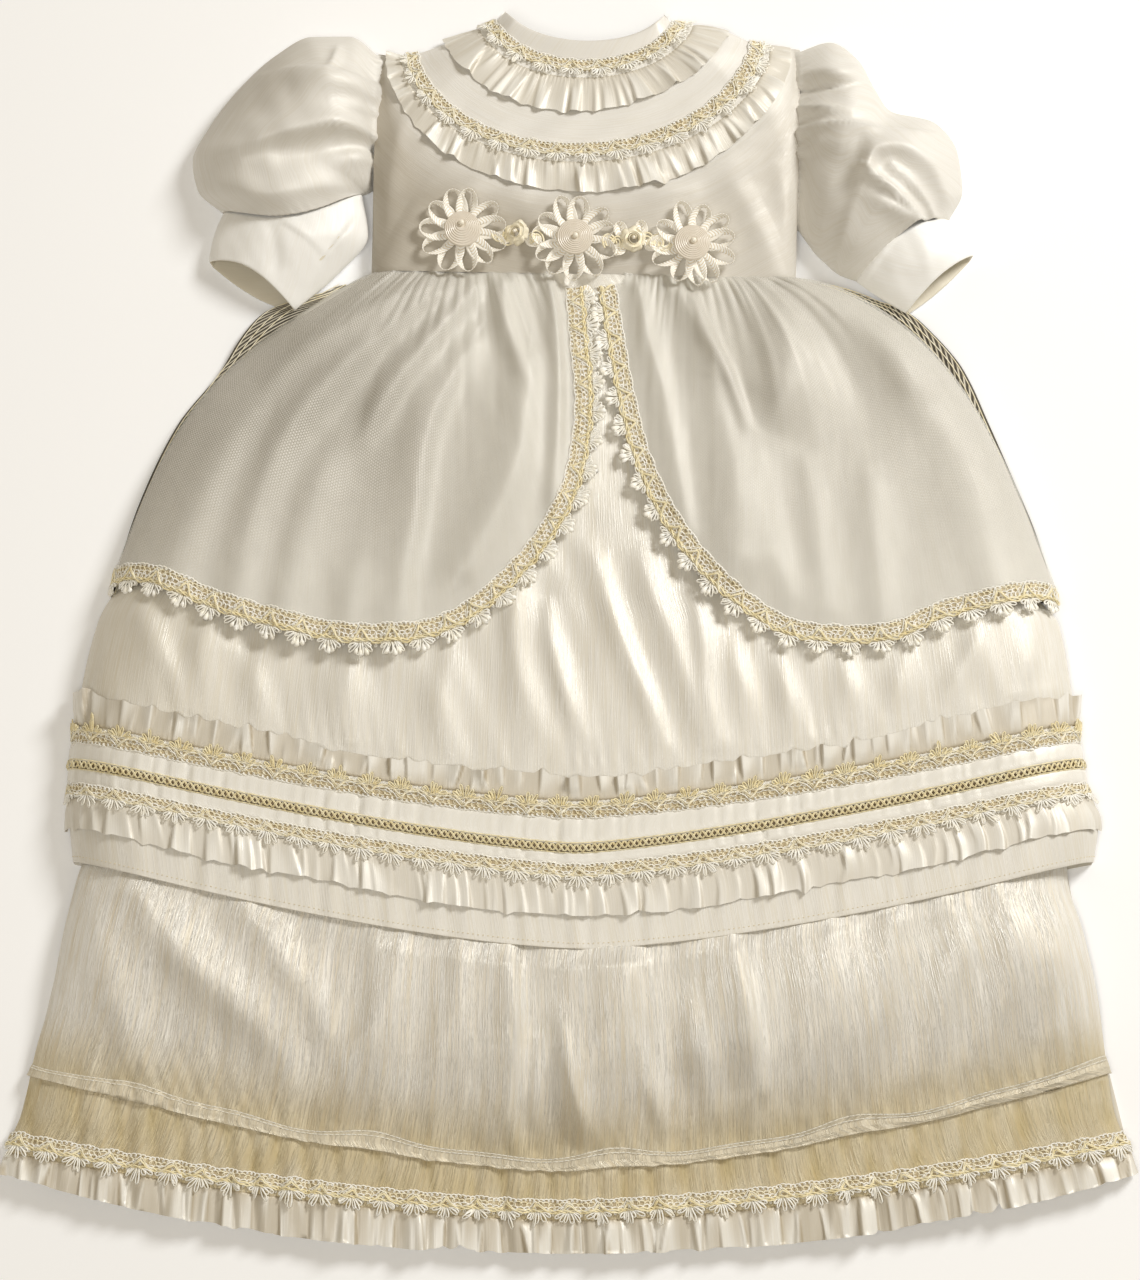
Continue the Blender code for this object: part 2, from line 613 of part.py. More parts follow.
def build_skirts():
    skirt = front_grid(SKIRT_LINES, SKIRT_SIDES, 2, SKIRT_CREASES)
    lip = line_number(SKIRT_LINES, "tuck_lip")
    skirt[lip, 1:-1] += grid_normals(skirt)[lip, 1:-1] * TUCK_RISE
    hem = line_number(SKIRT_LINES, "hem")
    cloth("skirt_front", skirt[:hem + 1], SILK_WALL, SILK)
    build_back("skirt_back", SKIRT_SIDES)

    tier = front_grid(TIER_LINES, TIER_SIDES, 1, TIER_CREASES)
    cloth("tier_front", tier, SILK_WALL, SILK)
    build_back("tier_back", TIER_SIDES)
    build_back("overskirt_back", OVERSKIRT_BACK_SIDES)

    row = {line[0]: k for k, line in enumerate(TIER_LINES)}
    seam = 0.03
    ruffle_on("band_ruffle_upper", tier, row["braid_up_top"] - seam, row["ruffle_up_end"], BAND_WAVES)
    braid_on("band_braid_upper", tier, row["braid_up_top"], row["braid_up_bottom"])
    braid_on("band_strip_upper", tier, row["braid_up_bottom"] + seam, row["faggot_top"])
    braid_on("band_strip_lower", tier, row["faggot_bottom"], row["braid_low_top"] - seam)
    braid_on("band_braid_lower", tier, row["braid_low_top"], row["braid_low_bottom"])
    ruffle_on("band_ruffle_lower", tier, row["braid_low_bottom"] + seam, row["ruffle_low_end"],
              BAND_WAVES)

    row = {line[0]: k for k, line in enumerate(SKIRT_LINES)}
    braid_on("hem_braid", skirt, row["braid_top"], row["braid_bottom"])
    ruffle_on("hem_ruffle", skirt, row["braid_bottom"] + 0.07, row["ruffle_end"], HEM_WAVES,
              HEM_RUFFLE_RISE)

    drop_length = {
        "left": lambda share: np.clip((1.0 - share) / DROP_FADE, 0.12, 1.0),
        "right": lambda share: np.clip(share / DROP_FADE, 0.12, 1.0),
    }
    for side in ("left", "right"):
        panel = overskirt_grid(side)
        cloth("overskirt_" + side, panel[:-1], SILK_WALL, NET)
        last = panel.shape[0] - 1
        braid_on("overskirt_braid_" + side, panel, last - 2.0, last - 1.0, drop_length[side])


# ---------------------------------------------------------------- bodice
def arch(line, angle):
    """An arched line from shoulder to shoulder at angles from 0 to pi."""
    left_x, left_y, right_x, right_y, low_y = line
    share = (1.0 - np.cos(angle)) / 2
    end_y = left_y + (right_y - left_y) * share
    x = left_x + (right_x - left_x) * share
    y = end_y + (low_y - (left_y + right_y) / 2) * np.sin(angle)
    return np.column_stack((x, y))


def bodice_edge():
    """The bodice's outer edge: left armhole, waist, right armhole, with each point's height."""
    side = ARMHOLE_COLUMNS
    waist = BODICE_COLUMNS - 2 * side
    lift = np.array((0.0, SEAM_GAP))
    corner_left = np.array(WAIST_LEFT) + lift
    corner_right = np.array(WAIST_RIGHT) + lift
    tip_left, tip_right = (np.array(tip) for tip in SHOULDER_TIPS)
    down = np.linspace(0.0, 1.0, side + 1)[:, None]
    left = tip_left + (corner_left - tip_left) * down
    right = corner_right + (tip_right - corner_right) * down
    share = np.linspace(0.0, 1.0, waist + 1)[1:-1, None]
    bottom = corner_left + (corner_right - corner_left) * share
    top_z = table_at(DOME, WAIST_LEFT[1], 1) + 0.8
    rest = BACK_WALL + 2 * SEAM_GAP
    half = (corner_right - corner_left)[0] / 2
    from_corner = half * (1 - np.abs(2 * share[:, 0] - 1))
    bottom_z = rest + (top_z - rest) * quarter_round(from_corner / table_at(DOME, 212.0, 2))
    heights = np.concatenate((ARMHOLE_HEIGHTS, bottom_z, ARMHOLE_HEIGHTS[::-1]))
    return np.vstack((left, bottom, right)), heights


def bodice_grid():
    angle = np.linspace(0.0, math.pi, BODICE_COLUMNS + 1)
    rise = np.ones(BODICE_COLUMNS + 1)
    rise[:len(SHOULDER_RISE)] = SHOULDER_RISE
    rise[-len(SHOULDER_RISE):] = SHOULDER_RISE[::-1]
    rows = [np.column_stack((arch(line[1:6], angle), line[6] * rise)) for line in YOKE_LINES]
    edge, heights = bodice_edge()
    outer = np.column_stack((edge, heights))
    for blend in BODICE_BLEND:
        row = rows[len(YOKE_LINES) - 1] * (1 - blend) + outer * blend
        top = rows[len(YOKE_LINES) - 1][:, 2]
        row[:, 2] = outer[:, 2] + (top - outer[:, 2]) * quarter_round(1 - blend)
        rows.append(row)
    rows.append(outer)
    return np.array(rows)


def back_top(x):
    """The back's upper edge: shoulder, neck curve, shoulder."""
    neck = arch(YOKE_LINES[0][1:6], np.linspace(0.0, math.pi, 41))
    shoulder_left = [line[1:3] for line in YOKE_LINES[:0:-1]]
    shoulder_right = [line[3:5] for line in YOKE_LINES[1:]]
    points = np.vstack((SHOULDER_TIPS[0], shoulder_left, neck, shoulder_right, SHOULDER_TIPS[1]))
    return np.interp(x, points[:, 0], points[:, 1])


def build_bodice():
    front = bodice_grid()
    cloth("bodice_front", front, SILK_WALL, SILK)
    centre = (YOKE_LINES[0][1] + YOKE_LINES[0][3]) / 2
    halves = {
        "left": (SHOULDER_TIPS[0][0], YOKE_LINES[0][1], centre - BODICE_BACK_GAP / 2, WAIST_LEFT[0]),
        "right": (SHOULDER_TIPS[1][0], YOKE_LINES[0][3], centre + BODICE_BACK_GAP / 2, WAIST_RIGHT[0]),
    }
    for side, (tip, neck, middle, corner) in halves.items():
        half_neck = arch(YOKE_LINES[0][1:6], np.linspace(0.0, math.pi / 2, 7))[:, 0]
        if side == "right":
            half_neck = YOKE_LINES[0][1] + YOKE_LINES[0][3] - half_neck
        half_neck[-1] = middle
        x = np.concatenate((np.linspace(tip, neck, 4)[:-1], half_neck))
        if side == "right":
            x = x[::-1]
        top = back_top(x)
        rows = []
        for share in np.linspace(0.0, 1.0, 6):
            row_x = x + (corner - tip) * share * (x - middle) / (tip - middle)
            y = top + (waist_y(row_x) + SEAM_GAP - top) * share
            rows.append(np.column_stack((row_x, y, np.full(len(x), BACK_WALL))))
        cloth("bodice_back_" + side, np.array(rows), BACK_WALL, SILK_BACK)

    row = {line[0]: k for k, line in enumerate(YOKE_LINES)}
    seam = 0.05
    braid_on("neck_braid", front, row["neck_seam"], row["neck_braid"])
    ruffle_on("neck_ruffle", front, row["neck_braid"] + seam, row["neck_ruffle"], NECK_WAVES)
    braid_on("yoke_braid", front, row["yoke_top"], row["yoke_braid"])
    ruffle_on("yoke_ruffle", front, row["yoke_braid"] + seam, row["yoke_ruffle"], YOKE_WAVES)
    return front


def build_neck_band(front):
    """A stand collar, open at the centre back: back half, round one side, front, back half."""
    angle = np.linspace(0.0, math.pi, BODICE_COLUMNS + 1)
    plan = arch(YOKE_LINES[0][1:6], angle)
    run = np.gradient(plan, axis=0)
    inward = np.column_stack((-run[:, 1], run[:, 0])) / np.linalg.norm(run, axis=1, keepdims=True)
    foot_plan = plan + inward * NECK_BAND_CLEAR
    head_plan = arch(NECK_BAND_TOP, angle)
    foot_z = np.maximum(front[0][:, 2], NECK_BAND_SIDE_HEIGHT)
    rise = NECK_BAND_RISE[0] + (NECK_BAND_RISE[1] - NECK_BAND_RISE[0]) * np.sin(angle)
    foot = np.column_stack((foot_plan, foot_z))
    head = np.column_stack((head_plan, foot_z + rise))
    foot[(0, -1), 1] += NECK_BAND_TURN
    head[(0, -1), 1] += NECK_BAND_TURN
    back_foot = np.column_stack((foot_plan, np.zeros(len(angle))))
    back_head = np.column_stack((head_plan + (0.0, 1.5), np.zeros(len(angle))))
    middle = BODICE_COLUMNS // 2
    half_gap = np.array((BODICE_BACK_GAP, 0.0, 0.0))
    ring = []
    for front_line, back_line in ((head, back_head), (foot, back_foot)):
        ring.append(np.vstack((
            back_line[middle] - half_gap, back_line[2:middle:2][::-1],
            front_line[::2],
            back_line[middle + 2:-1:2][::-1], back_line[middle] + half_gap)))
    return cloth("neck_band", np.array(ring), SILK_WALL, SILK)


# ---------------------------------------------------------------- sleeves
def ring_section(row, points):
    """A flattened ring: flat underside, domed front, short upright ends."""
    outer_x, outer_y, inner_x, inner_y, height, floor, bow_front, bow_back = row
    outer = np.array((outer_x, outer_y))
    inner = np.array((inner_x, inner_y))
    chord = inner - outer
    across = np.array((0.0, 1.0))
    half = points // 2
    share = (1 - np.cos(np.linspace(0.0, math.pi, half))) / 2
    end = min(6.0, height * 0.3)
    front_z = floor + end + (height - floor - end) * np.sin(np.pi * share) ** 0.62
    front = outer + chord * share[:, None] + across * (bow_front * np.sin(np.pi * share))[:, None]
    back_share = np.clip(0.03 + 0.94 * share[::-1], 0.0, 1.0)
    back = outer + chord * back_share[:, None]
    back = back + across * (bow_back * np.sin(np.pi * back_share))[:, None]
    return np.vstack((np.column_stack((front, front_z)),
                      np.column_stack((back, np.full(half, floor)))))


def build_sleeves():
    for side in ("left", "right"):
        for name, rings in (("sleeve_", SLEEVE_RINGS[side]), ("cuff_", CUFF_RINGS[side])):
            grid = np.array([ring_section(row, RING_POINTS) for row in rings])
            if side == "right":
                grid = grid[:, ::-1]
            cloth(name + side, grid, SILK_WALL, SILK, ring=True)


# ---------------------------------------------------------------- flowers, buttons and roses
def seat(made, x, y, height, rise):
    """Lay a piece of trim on the front of the waist, which climbs towards the neck."""
    made.location = (x * MM, y * MM, height * MM)
    made.rotation_euler = (math.atan(rise), 0.0, 0.0)
    return made


def build_flower(name, x, y, foot, rise):
    """One ribbon standing on edge that loops out to each petal's tip and back to the hub."""
    outline = []
    for petal in range(FLOWER_PETALS):
        turn = 2 * math.pi * petal / FLOWER_PETALS
        long = FLOWER_RADIUS * (1.0 if petal % 2 else 0.92)
        for radius, off in ((FLOWER_HUB, -1.5), (long * 0.68, -PETAL_HALF_WIDTH), (long, -2.2),
                            (long, 2.2), (long * 0.68, PETAL_HALF_WIDTH), (FLOWER_HUB, 1.5)):
            outline.append((radius * math.cos(turn) - off * math.sin(turn),
                            radius * math.sin(turn) + off * math.cos(turn)))
    plan = np.array(outline)
    low = np.column_stack((plan, np.zeros(len(plan))))
    high = np.column_stack((plan, np.full(len(plan), RIBBON_WIDTH)))
    made = cloth("flower_" + name, np.array((high, low)), TRIM_WALL, RIBBON, ring=True)
    return seat(made, x, y, foot, rise)


def build_button(name, x, y, foot, rise):
    """A turned disc with a raised rim, a stepped cone and a pearl on top."""
    profile = (
        (0.0, BUTTON_HEIGHT + 1.6), (1.9, BUTTON_HEIGHT + 0.9), (2.3, BUTTON_HEIGHT - 0.6),
        (5.4, BUTTON_HEIGHT - 2.4), (8.8, BUTTON_HEIGHT - 3.6), (BUTTON_RADIUS, 2.0),
        (BUTTON_RADIUS - 0.6, 0.0), (0.0, 0.0),
    )
    mesh = bpy.data.meshes.new("flower_button_" + name)
    points = [(radius * MM, 0.0, height * MM) for radius, height in profile]
    mesh.from_pydata(points, [(k, k + 1) for k in range(len(points) - 1)], [])
    made = new_object("flower_button_" + name, mesh, SHELL_BUTTON)
    screw = made.modifiers.new("turn", "SCREW")
    screw.steps = BUTTON_STEPS
    screw.render_steps = BUTTON_STEPS
    screw.use_merge_vertices = True
    screw.merge_threshold = 0.00005
    return seat(made, x, y, foot + RIBBON_WIDTH + BUTTON_GAP, rise)


def build_rose(name, x, y, foot, rise):
    """A ribbon rose: a low bud whose rim waves in five petals."""
    steps = 15
    profile = ((0.55, 0.0), (0.95, 0.25), (1.0, 0.55), (0.7, 0.85), (0.35, 1.0))
    bud = bmesh.new()
    rings = []
    for level, (radius, height) in enumerate(profile):
        ring = []
        for k in range(steps):
            turn = 2 * math.pi * k / steps
            wave = 1.0 + 0.09 * math.cos(5 * turn + level)
            ring.append(bud.verts.new((ROSE_RADIUS * radius * wave * math.cos(turn) * MM,
                                       ROSE_RADIUS * radius * wave * math.sin(turn) * MM,
                                       ROSE_HEIGHT * height * MM)))
        rings.append(ring)
    for lower, upper in zip(rings, rings[1:]):
        for k in range(steps):
            n = (k + 1) % steps
            bud.faces.new((lower[k], lower[n], upper[n], upper[k]))
    bud.faces.new(rings[0][::-1])
    bud.faces.new(rings[-1])
    mesh = bpy.data.meshes.new("rose_" + name)
    bud.to_mesh(mesh)
    bud.free()
    return seat(new_object("rose_" + name, mesh, RIBBON), x, y, foot, rise)


def main():
    clear_scene()
    gown = bpy.data.collections.new("christening_gown")
    bpy.context.scene.collection.children.link(gown)
    build_skirts()
    front = build_bodice()
    build_neck_band(front)
    build_sleeves()
    for flower in FLOWERS:
        build_flower(*flower)
        build_button(*flower)
    for rose in ROSES:
        build_rose(*rose)


main()
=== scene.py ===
# %% [markdown]
# # A christening gown, laid on its back
#
# The imported solids hold the gown's real sizes. This lesson dresses them: every panel of silk, every
# pleat and every loop of braid becomes a surface worked out with numpy, on the form of its solid.
# We begin by loading the solids.

# %% Load the solids
import math

import bmesh
import bpy
import numpy as np
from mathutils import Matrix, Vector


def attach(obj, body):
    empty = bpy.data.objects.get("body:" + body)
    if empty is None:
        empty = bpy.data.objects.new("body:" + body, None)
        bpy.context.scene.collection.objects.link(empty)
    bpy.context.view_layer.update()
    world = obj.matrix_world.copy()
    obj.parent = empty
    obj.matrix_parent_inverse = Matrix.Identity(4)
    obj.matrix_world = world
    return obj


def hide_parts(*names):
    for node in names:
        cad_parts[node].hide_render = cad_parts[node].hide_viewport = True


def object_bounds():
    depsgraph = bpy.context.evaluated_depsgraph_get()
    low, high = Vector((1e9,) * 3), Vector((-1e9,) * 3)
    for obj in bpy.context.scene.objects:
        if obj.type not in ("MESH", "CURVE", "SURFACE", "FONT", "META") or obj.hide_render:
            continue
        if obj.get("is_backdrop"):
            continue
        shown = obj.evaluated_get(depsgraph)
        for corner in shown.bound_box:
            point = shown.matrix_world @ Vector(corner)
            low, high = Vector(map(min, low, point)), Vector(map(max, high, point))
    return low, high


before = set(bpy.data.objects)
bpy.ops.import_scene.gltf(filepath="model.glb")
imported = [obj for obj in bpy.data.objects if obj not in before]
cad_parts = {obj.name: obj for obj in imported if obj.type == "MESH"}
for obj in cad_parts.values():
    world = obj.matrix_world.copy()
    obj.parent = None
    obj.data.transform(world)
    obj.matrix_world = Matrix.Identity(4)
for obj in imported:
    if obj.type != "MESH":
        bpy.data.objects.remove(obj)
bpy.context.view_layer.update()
MM = 0.001
QUARTER_TURN = math.pi / 2
FULL_TURN = math.pi * 2
SIDES = ("left", "right")
UP = np.array((0.0, 0.0, 1.0))

# %% [markdown]
# ## Curves and tables
#
# A pattern cutter's measures are a few numbers down a seam. Straight lines between them would show as
# facets, so two small curves do the joining: one that never overshoots its numbers, for widths and
# heights, and one that runs through points in a round way, for edges and folds. Before them come two
# helpers for every later cell: a ramp from 0 to 1 and a vector of length 1.

# %% Ramp, unit vector and two ways to join measures
def ramp(value, start, end):
    """0 up to start, 1 from end on, and straight between. It falls where end is less than start."""
    return np.clip((value - start) / (end - start), 0, 1)


def unit(vectors):
    """Each vector divided by its length."""
    return vectors / np.maximum(np.linalg.norm(vectors, axis=-1, keepdims=True), 1e-9)


def smooth(x, stations, values):
    """Cubic through stations that never overshoots: at each station the slope is the harmonic mean
    of the slopes beside it, or zero where those differ in sign."""
    stations, values = np.asarray(stations, float), np.asarray(values, float)
    step = np.diff(stations)
    slope = np.diff(values) / step
    product = slope[:-1] * slope[1:]
    total = slope[:-1] + slope[1:]
    inner = np.where(product > 0, 2 * product / np.where(product > 0, total, 1.0), 0.0)
    tangent = np.concatenate((slope[:1], inner, slope[-1:]))
    x = np.clip(x, stations[0], stations[-1])
    k = np.clip(np.searchsorted(stations, x, side="right") - 1, 0, len(step) - 1)
    t = (x - stations[k]) / step[k]
    rise = values[k + 1] - values[k]
    return (values[k] + step[k] * tangent[k] * t * (1 - t) ** 2 - step[k] * tangent[k + 1] * t ** 2 * (1 - t)
            + rise * t ** 2 * (3 - 2 * t))


def curve_through(points, shares):
    """Catmull-Rom curve through rows of numbers, read at shares of its length in x and y."""
    points = np.array(points, float)
    ends = np.vstack((2 * points[0] - points[1], points, 2 * points[-1] - points[-2]))
    t = np.linspace(0, 1, 24, endpoint=False)[:, None]
    spans = [0.5 * (2 * b + (c - a) * t + (2 * a - 5 * b + 4 * c - d) * t ** 2
                    + (3 * b - 3 * c + d - a) * t ** 3)
             for a, b, c, d in zip(ends, ends[1:], ends[2:], ends[3:])]
    dense = np.vstack(spans + [points[-1:]])
    length = np.concatenate(([0], np.cumsum(np.hypot(*np.diff(dense[:, :2], axis=0).T))))
    wanted = np.asarray(shares, float) * length[-1]
    return np.column_stack([np.interp(wanted, length, column) for column in dense.T]), length[-1]


print("half way between 0, 1 and 5:", smooth(np.array([0.5, 1.5]), (0, 1, 2), (0, 1, 5)).round(2))

# %% [markdown]
# ## Folds given one by one
#
# Silk folds where it is gathered or where it was pressed, and no formula knows where that is. So each
# main fold is a short row of stations along its crest: place, height, and how far it reaches on its
# left and on its right. A narrow side makes a crisp edge, a wide side a soft slope. A second function
# adds the slight unevenness that no laid cloth is without.

# %% Fold heights
CREST_SPANS = 25         # straight spans in which a crest is read
FOLD_POWER = 1.7         # over 1 and under 2: rounder than a ridge, sharper than a bell


def fold_height(x, y, folds):
    """Sum over folds of height * exp(-(distance / reach) ^ 1.7). Height and reach are read where the
    crest is nearest, and beyond its ends the distance to its last station counts."""
    total = np.zeros(np.broadcast(x, y).shape)
    x, y = np.broadcast_arrays(np.asarray(x, float), np.asarray(y, float))
    for stations in folds:
        line, length = curve_through(stations, np.linspace(0, 1, CREST_SPANS + 1))
        ahead = unit(np.gradient(line[:, :2], axis=0))
        margin = line[:, 3:5].max() * 2.2
        near_box = ((x > line[:, 0].min() - margin) & (x < line[:, 0].max() + margin)
                    & (y > line[:, 1].min() - margin) & (y < line[:, 1].max() + margin))
        px, py = x[near_box], y[near_box]
        k = np.argmin((px[:, None] - line[:, 0]) ** 2 + (py[:, None] - line[:, 1]) ** 2, axis=1)
        dx, dy = px - line[k, 0], py - line[k, 1]
        off = ahead[k, 0] * dy - ahead[k, 1] * dx
        station = k + (dx * ahead[k, 0] + dy * ahead[k, 1]) / (length / CREST_SPANS)
        past = np.maximum(np.maximum(-station, station - CREST_SPANS), 0) * length / CREST_SPANS
        height, left, right = (np.interp(station, np.arange(CREST_SPANS + 1), line[:, c]) for c in (2, 3, 4))
        width = np.where(off > 0, right, left)
        total[near_box] += height * np.exp(-(np.hypot(off, past) / width) ** FOLD_POWER)
    return total


def unevenness(x, y, seed, size, height, stretch=2.5):
    """Sum of ten sine waves about size mm long whose crests run mostly towards the hem: along y they
    are stretch times longer."""
    rng = np.random.default_rng(seed)
    total = 0.0
    for _ in range(10):
        across, along, phase = rng.normal(0, 1, 2).tolist() + [rng.uniform(0, FULL_TURN)]
        total = total + np.sin((x * across + y * along / stretch) * 2 * math.pi / size + phase)
    return total * height / 10


print("a fold 5 mm high, 6 mm beside its crest:",
      fold_height(np.array([6.0]), np.array([0.0]), [((0, 20, 5, 8, 8), (0, -20, 5, 8, 8))]).round(2))

# %% [markdown]
# ## From arrays to meshes
#
# Every piece is a grid of points. Rows run from neck to hem and columns from left to right, so the
# quads all face outwards. Each grid also keeps how far a point lies along and across the cloth, in
# metres, as a UV map named cloth: the weave then follows the silk round every fold.

# %% Grids as meshes
PAINTS = {}              # the materials by name, made further down


def mesh_of(name, points, faces, paint, uv=None):
    """Points in mm and faces become a smooth mesh object; uv holds one pair for each face corner, and
    paint names the material."""
    mesh = bpy.data.meshes.new(name)
    mesh.vertices.add(len(points))
    mesh.vertices.foreach_set("co", (np.asarray(points) * MM).ravel())
    mesh.loops.add(faces.size)
    mesh.loops.foreach_set("vertex_index", faces.ravel())
    mesh.polygons.add(len(faces))
    mesh.polygons.foreach_set("loop_start", np.arange(0, faces.size, faces.shape[1]))
    mesh.update(calc_edges=True)
    if uv is not None:
        mesh.uv_layers.new(name="cloth").data.foreach_set("uv", np.asarray(uv, float).ravel())
    mesh.shade_smooth()
    mesh.materials.append(PAINTS[paint])
    made = bpy.data.objects.new(name, mesh)
    bpy.context.scene.collection.objects.link(made)
    return made


def grid_faces(rows, columns, ring=False):
    """Quads over a grid, wound so that down times across points outwards."""
    i, j = np.mgrid[0:rows - 1, 0:columns if ring else columns - 1]
    k = (j + 1) % columns
    corners = (i * columns + j, (i + 1) * columns + j, (i + 1) * columns + k, i * columns + k)
    return np.stack(corners, -1).reshape(-1, 4)


def running_length(points, axis=0):
    """The length up to each point along an axis, as running sums of the spaces between them."""
    steps = np.linalg.norm(np.diff(points, axis=axis), axis=-1)
    return np.concatenate((np.zeros_like(steps.take([0], axis=axis)), np.cumsum(steps, axis=axis)), axis=axis)


def cloth_lengths(points, ring=False):
    """Distance across each row and along each column."""
    if ring:
        points = np.concatenate((points, points[:, :1]), axis=1)
    return running_length(points, 1), running_length(points, 0)


def thicken(piece, wall, offset):
    """A Solidify modifier of wall mm, inwards for an offset of -1 and to both sides for 0."""
    if wall:
        solid = piece.modifiers.new("wall", "SOLIDIFY")
        solid.thickness = wall * MM
        solid.offset = offset
    return piece


def surface(name, points, paint, ring=False, wall=0.0, true_row=None):
    """A grid of points as cloth. true_row names the row whose lengths count for all of them, where
    the others are gathered."""
    across, along = cloth_lengths(points, ring)
    if true_row is not None:
        across = np.broadcast_to(across[true_row], across.shape)
    uv = np.stack((across, along), -1).reshape(-1, 2) * MM
    corners = grid_faces(*across.shape).ravel()
    faces = grid_faces(*points.shape[:2], ring)
    return thicken(mesh_of(name, points.reshape(-1, 3), faces, paint, uv[corners]), wall, -1)


def grid_normals(points):
    """Unit cross product of the steps towards the hem and to the right."""
    return unit(np.cross(np.gradient(points, axis=0), np.gradient(points, axis=1)))


print("a 3 by 4 grid has", len(grid_faces(3, 4)), "quads")

# %% Cords as tubes
def tubes(paths, up, radius, sides=4):
    """Cords: at each point of paths (cord, point, xyz) a ring of corners stands square to the run,
    its first corner turned to up. Returns points and faces."""
    run = unit(np.gradient(paths, axis=1))
    beside = unit(np.cross(up, run))
    over = np.cross(run, beside)
    angle = (np.arange(sides) * 2 * math.pi / sides)[:, None]
    radius = np.broadcast_to(radius, paths.shape[:2])[:, :, None, None]
    spoke = np.cos(angle) * beside[:, :, None] + np.sin(angle) * over[:, :, None]
    ring = paths[:, :, None] + radius * spoke
    cords, stations = paths.shape[:2]
    faces = grid_faces(stations, sides, ring=True)[:, ::-1]
    start = np.arange(cords)[:, None, None] * stations * sides
    return ring.reshape(-1, 3), (faces[None] + start).reshape(-1, 4)


def joined(parts):
    """One list of points and faces from several."""
    offset = np.cumsum([0] + [len(points) for points, _ in parts[:-1]])
    return (np.vstack([points for points, _ in parts]),
            np.vstack([faces + k for (_, faces), k in zip(parts, offset)]))

# %% [markdown]
# ## A panel that trim can be sewn to
#
# Ruffles and braid follow the cloth they are sewn to, over every fold. Blender's Shrinkwrap could do
# that, but here each panel is a grid that we worked out ourselves, so we can simply ask it: where is
# pattern row 3.5, a quarter of the way across, one millimetre out?

# %% The panel and its measuring tape
class Panel:
    """A grid of points with the pattern row of each of its lines. Columns run from 0 to 1."""

    def __init__(self, points, rows, name=None):
        self.name = name
        self.points = points
        self.normals = grid_normals(points)
        self.rows = np.asarray(rows, float)

    def at(self, row, column, lift=0.0):
        """The four grid points around a place, mixed by nearness, moved out along the normal."""
        row, column, lift = np.broadcast_arrays(*(np.asarray(v, float) for v in (row, column, lift)))
        v = np.interp(row, self.rows, np.arange(len(self.rows)))
        u = np.clip(column, 0, 1) * (self.points.shape[1] - 1)
        i = np.clip(v.astype(int), 0, self.points.shape[0] - 2)
        j = np.clip(u.astype(int), 0, self.points.shape[1] - 2)
        v, u = (v - i)[..., None], (u - j)[..., None]
        mixed = [(field[i, j] * (1 - u) + field[i, j + 1] * u) * (1 - v)
                 + (field[i + 1, j] * (1 - u) + field[i + 1, j + 1] * u) * v
                 for field in (self.points, self.normals)]
        return mixed[0] + mixed[1] * lift[..., None], mixed[1]

    def below(self, row, distance):
        """The row that lies some mm further towards the hem, measured down the middle column."""
        run = running_length(self.points[:, self.points.shape[1] // 2])
        return np.interp(np.interp(row, self.rows, run) + distance, run, self.rows)

    def tape(self, row):
        """The length of a pattern row in mm, and what turns a length along it into a column."""
        columns = np.linspace(0, 1, 4 * self.points.shape[1])
        length = running_length(self.at(row, columns)[0])
        return length[-1], lambda u: np.interp(u, length, columns)


# %% Dressing, painted shade and cut sizes
def dress(piece, slot, *nodes):
    """Tie a finished piece to the gown and hide the solids that it stands for. The slot is not used."""
    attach(piece, "root")
    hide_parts(*nodes)
    print(piece.name, "has", len(piece.data.polygons), "faces")
    return piece


def paint_shade(piece, share):
    """Painted shade: one share of the material's shade tone for each vertex, read by the materials."""
    layer = piece.data.attributes.new("painted_shade", "FLOAT", "POINT")
    layer.data.foreach_set("value", np.asarray(share, float).ravel())


def cut(piece, points, least=0.0):
    """Print the size a sheet was cut to: its longest row and column, and its own area. The
    length is at least least mm, where a strip has more to it than the grid."""
    across, along = cloth_lengths(points)
    squares = np.cross(points[1:, 1:] - points[:-1, :-1], points[1:, :-1] - points[:-1, 1:])
    area = np.linalg.norm(squares, axis=2).sum() / 2 * MM * MM
    width, length = across[:, -1].max() * MM, max(along[-1].max(), least) * MM
    area = min(max(area, 0.31 * width * length), width * length)
    print(f"{piece.name}: cut {width:.3f} by {length:.3f} m, {area:.4f} m2")


def cloth(name, points, paint, slot, node, held, rests_on=(), painted_shade=None, flat=None, least=0.0, **form):
    """A sheet from its grid to its cut. Flat holds the points that count for the cut, where the grid
    also has a turned edge."""
    piece = dress(surface(name, points, paint, **form), slot, node)
    if painted_shade is not None:
        paint_shade(piece, np.broadcast_to(painted_shade, points.shape[:2]))
    cut(piece, points if flat is None else flat, least)

# %% [markdown]
# ## The table, the light and the camera
#
# The gown lies on a pale table. Silk shows its folds only where light falls across them, so one large
# soft lamp stands low beyond the right shoulder. A dimmer one near the ceiling and a dim, warm sky fill
# the shadows. The camera looks down from beyond the hem.

# %% Node helpers
COLOUR_A, COLOUR_B, COLOUR_OUT = 6, 7, 2     # a Mix node's colour sockets, which share their names


def wire(tree, node, *links):
    """Give sockets a value, or the output that feeds them."""
    for socket, source in links:
        if isinstance(source, bpy.types.NodeSocket):
            tree.links.new(source, node.inputs[socket])
        else:
            node.inputs[socket].default_value = source
    return node


def part_of(tree, kind, *links, **values):
    """A new node with its settings and its sockets."""
    made = tree.nodes.new("ShaderNode" + kind)
    for name, value in values.items():
        setattr(made, name, value)
    return wire(tree, made, *links)


def paint_of(name):
    """A new node material: its tree and its Principled shader."""
    made = PAINTS[name] = bpy.data.materials.new(name)
    made.use_nodes = True
    return made.node_tree, made.node_tree.nodes["Principled BSDF"]


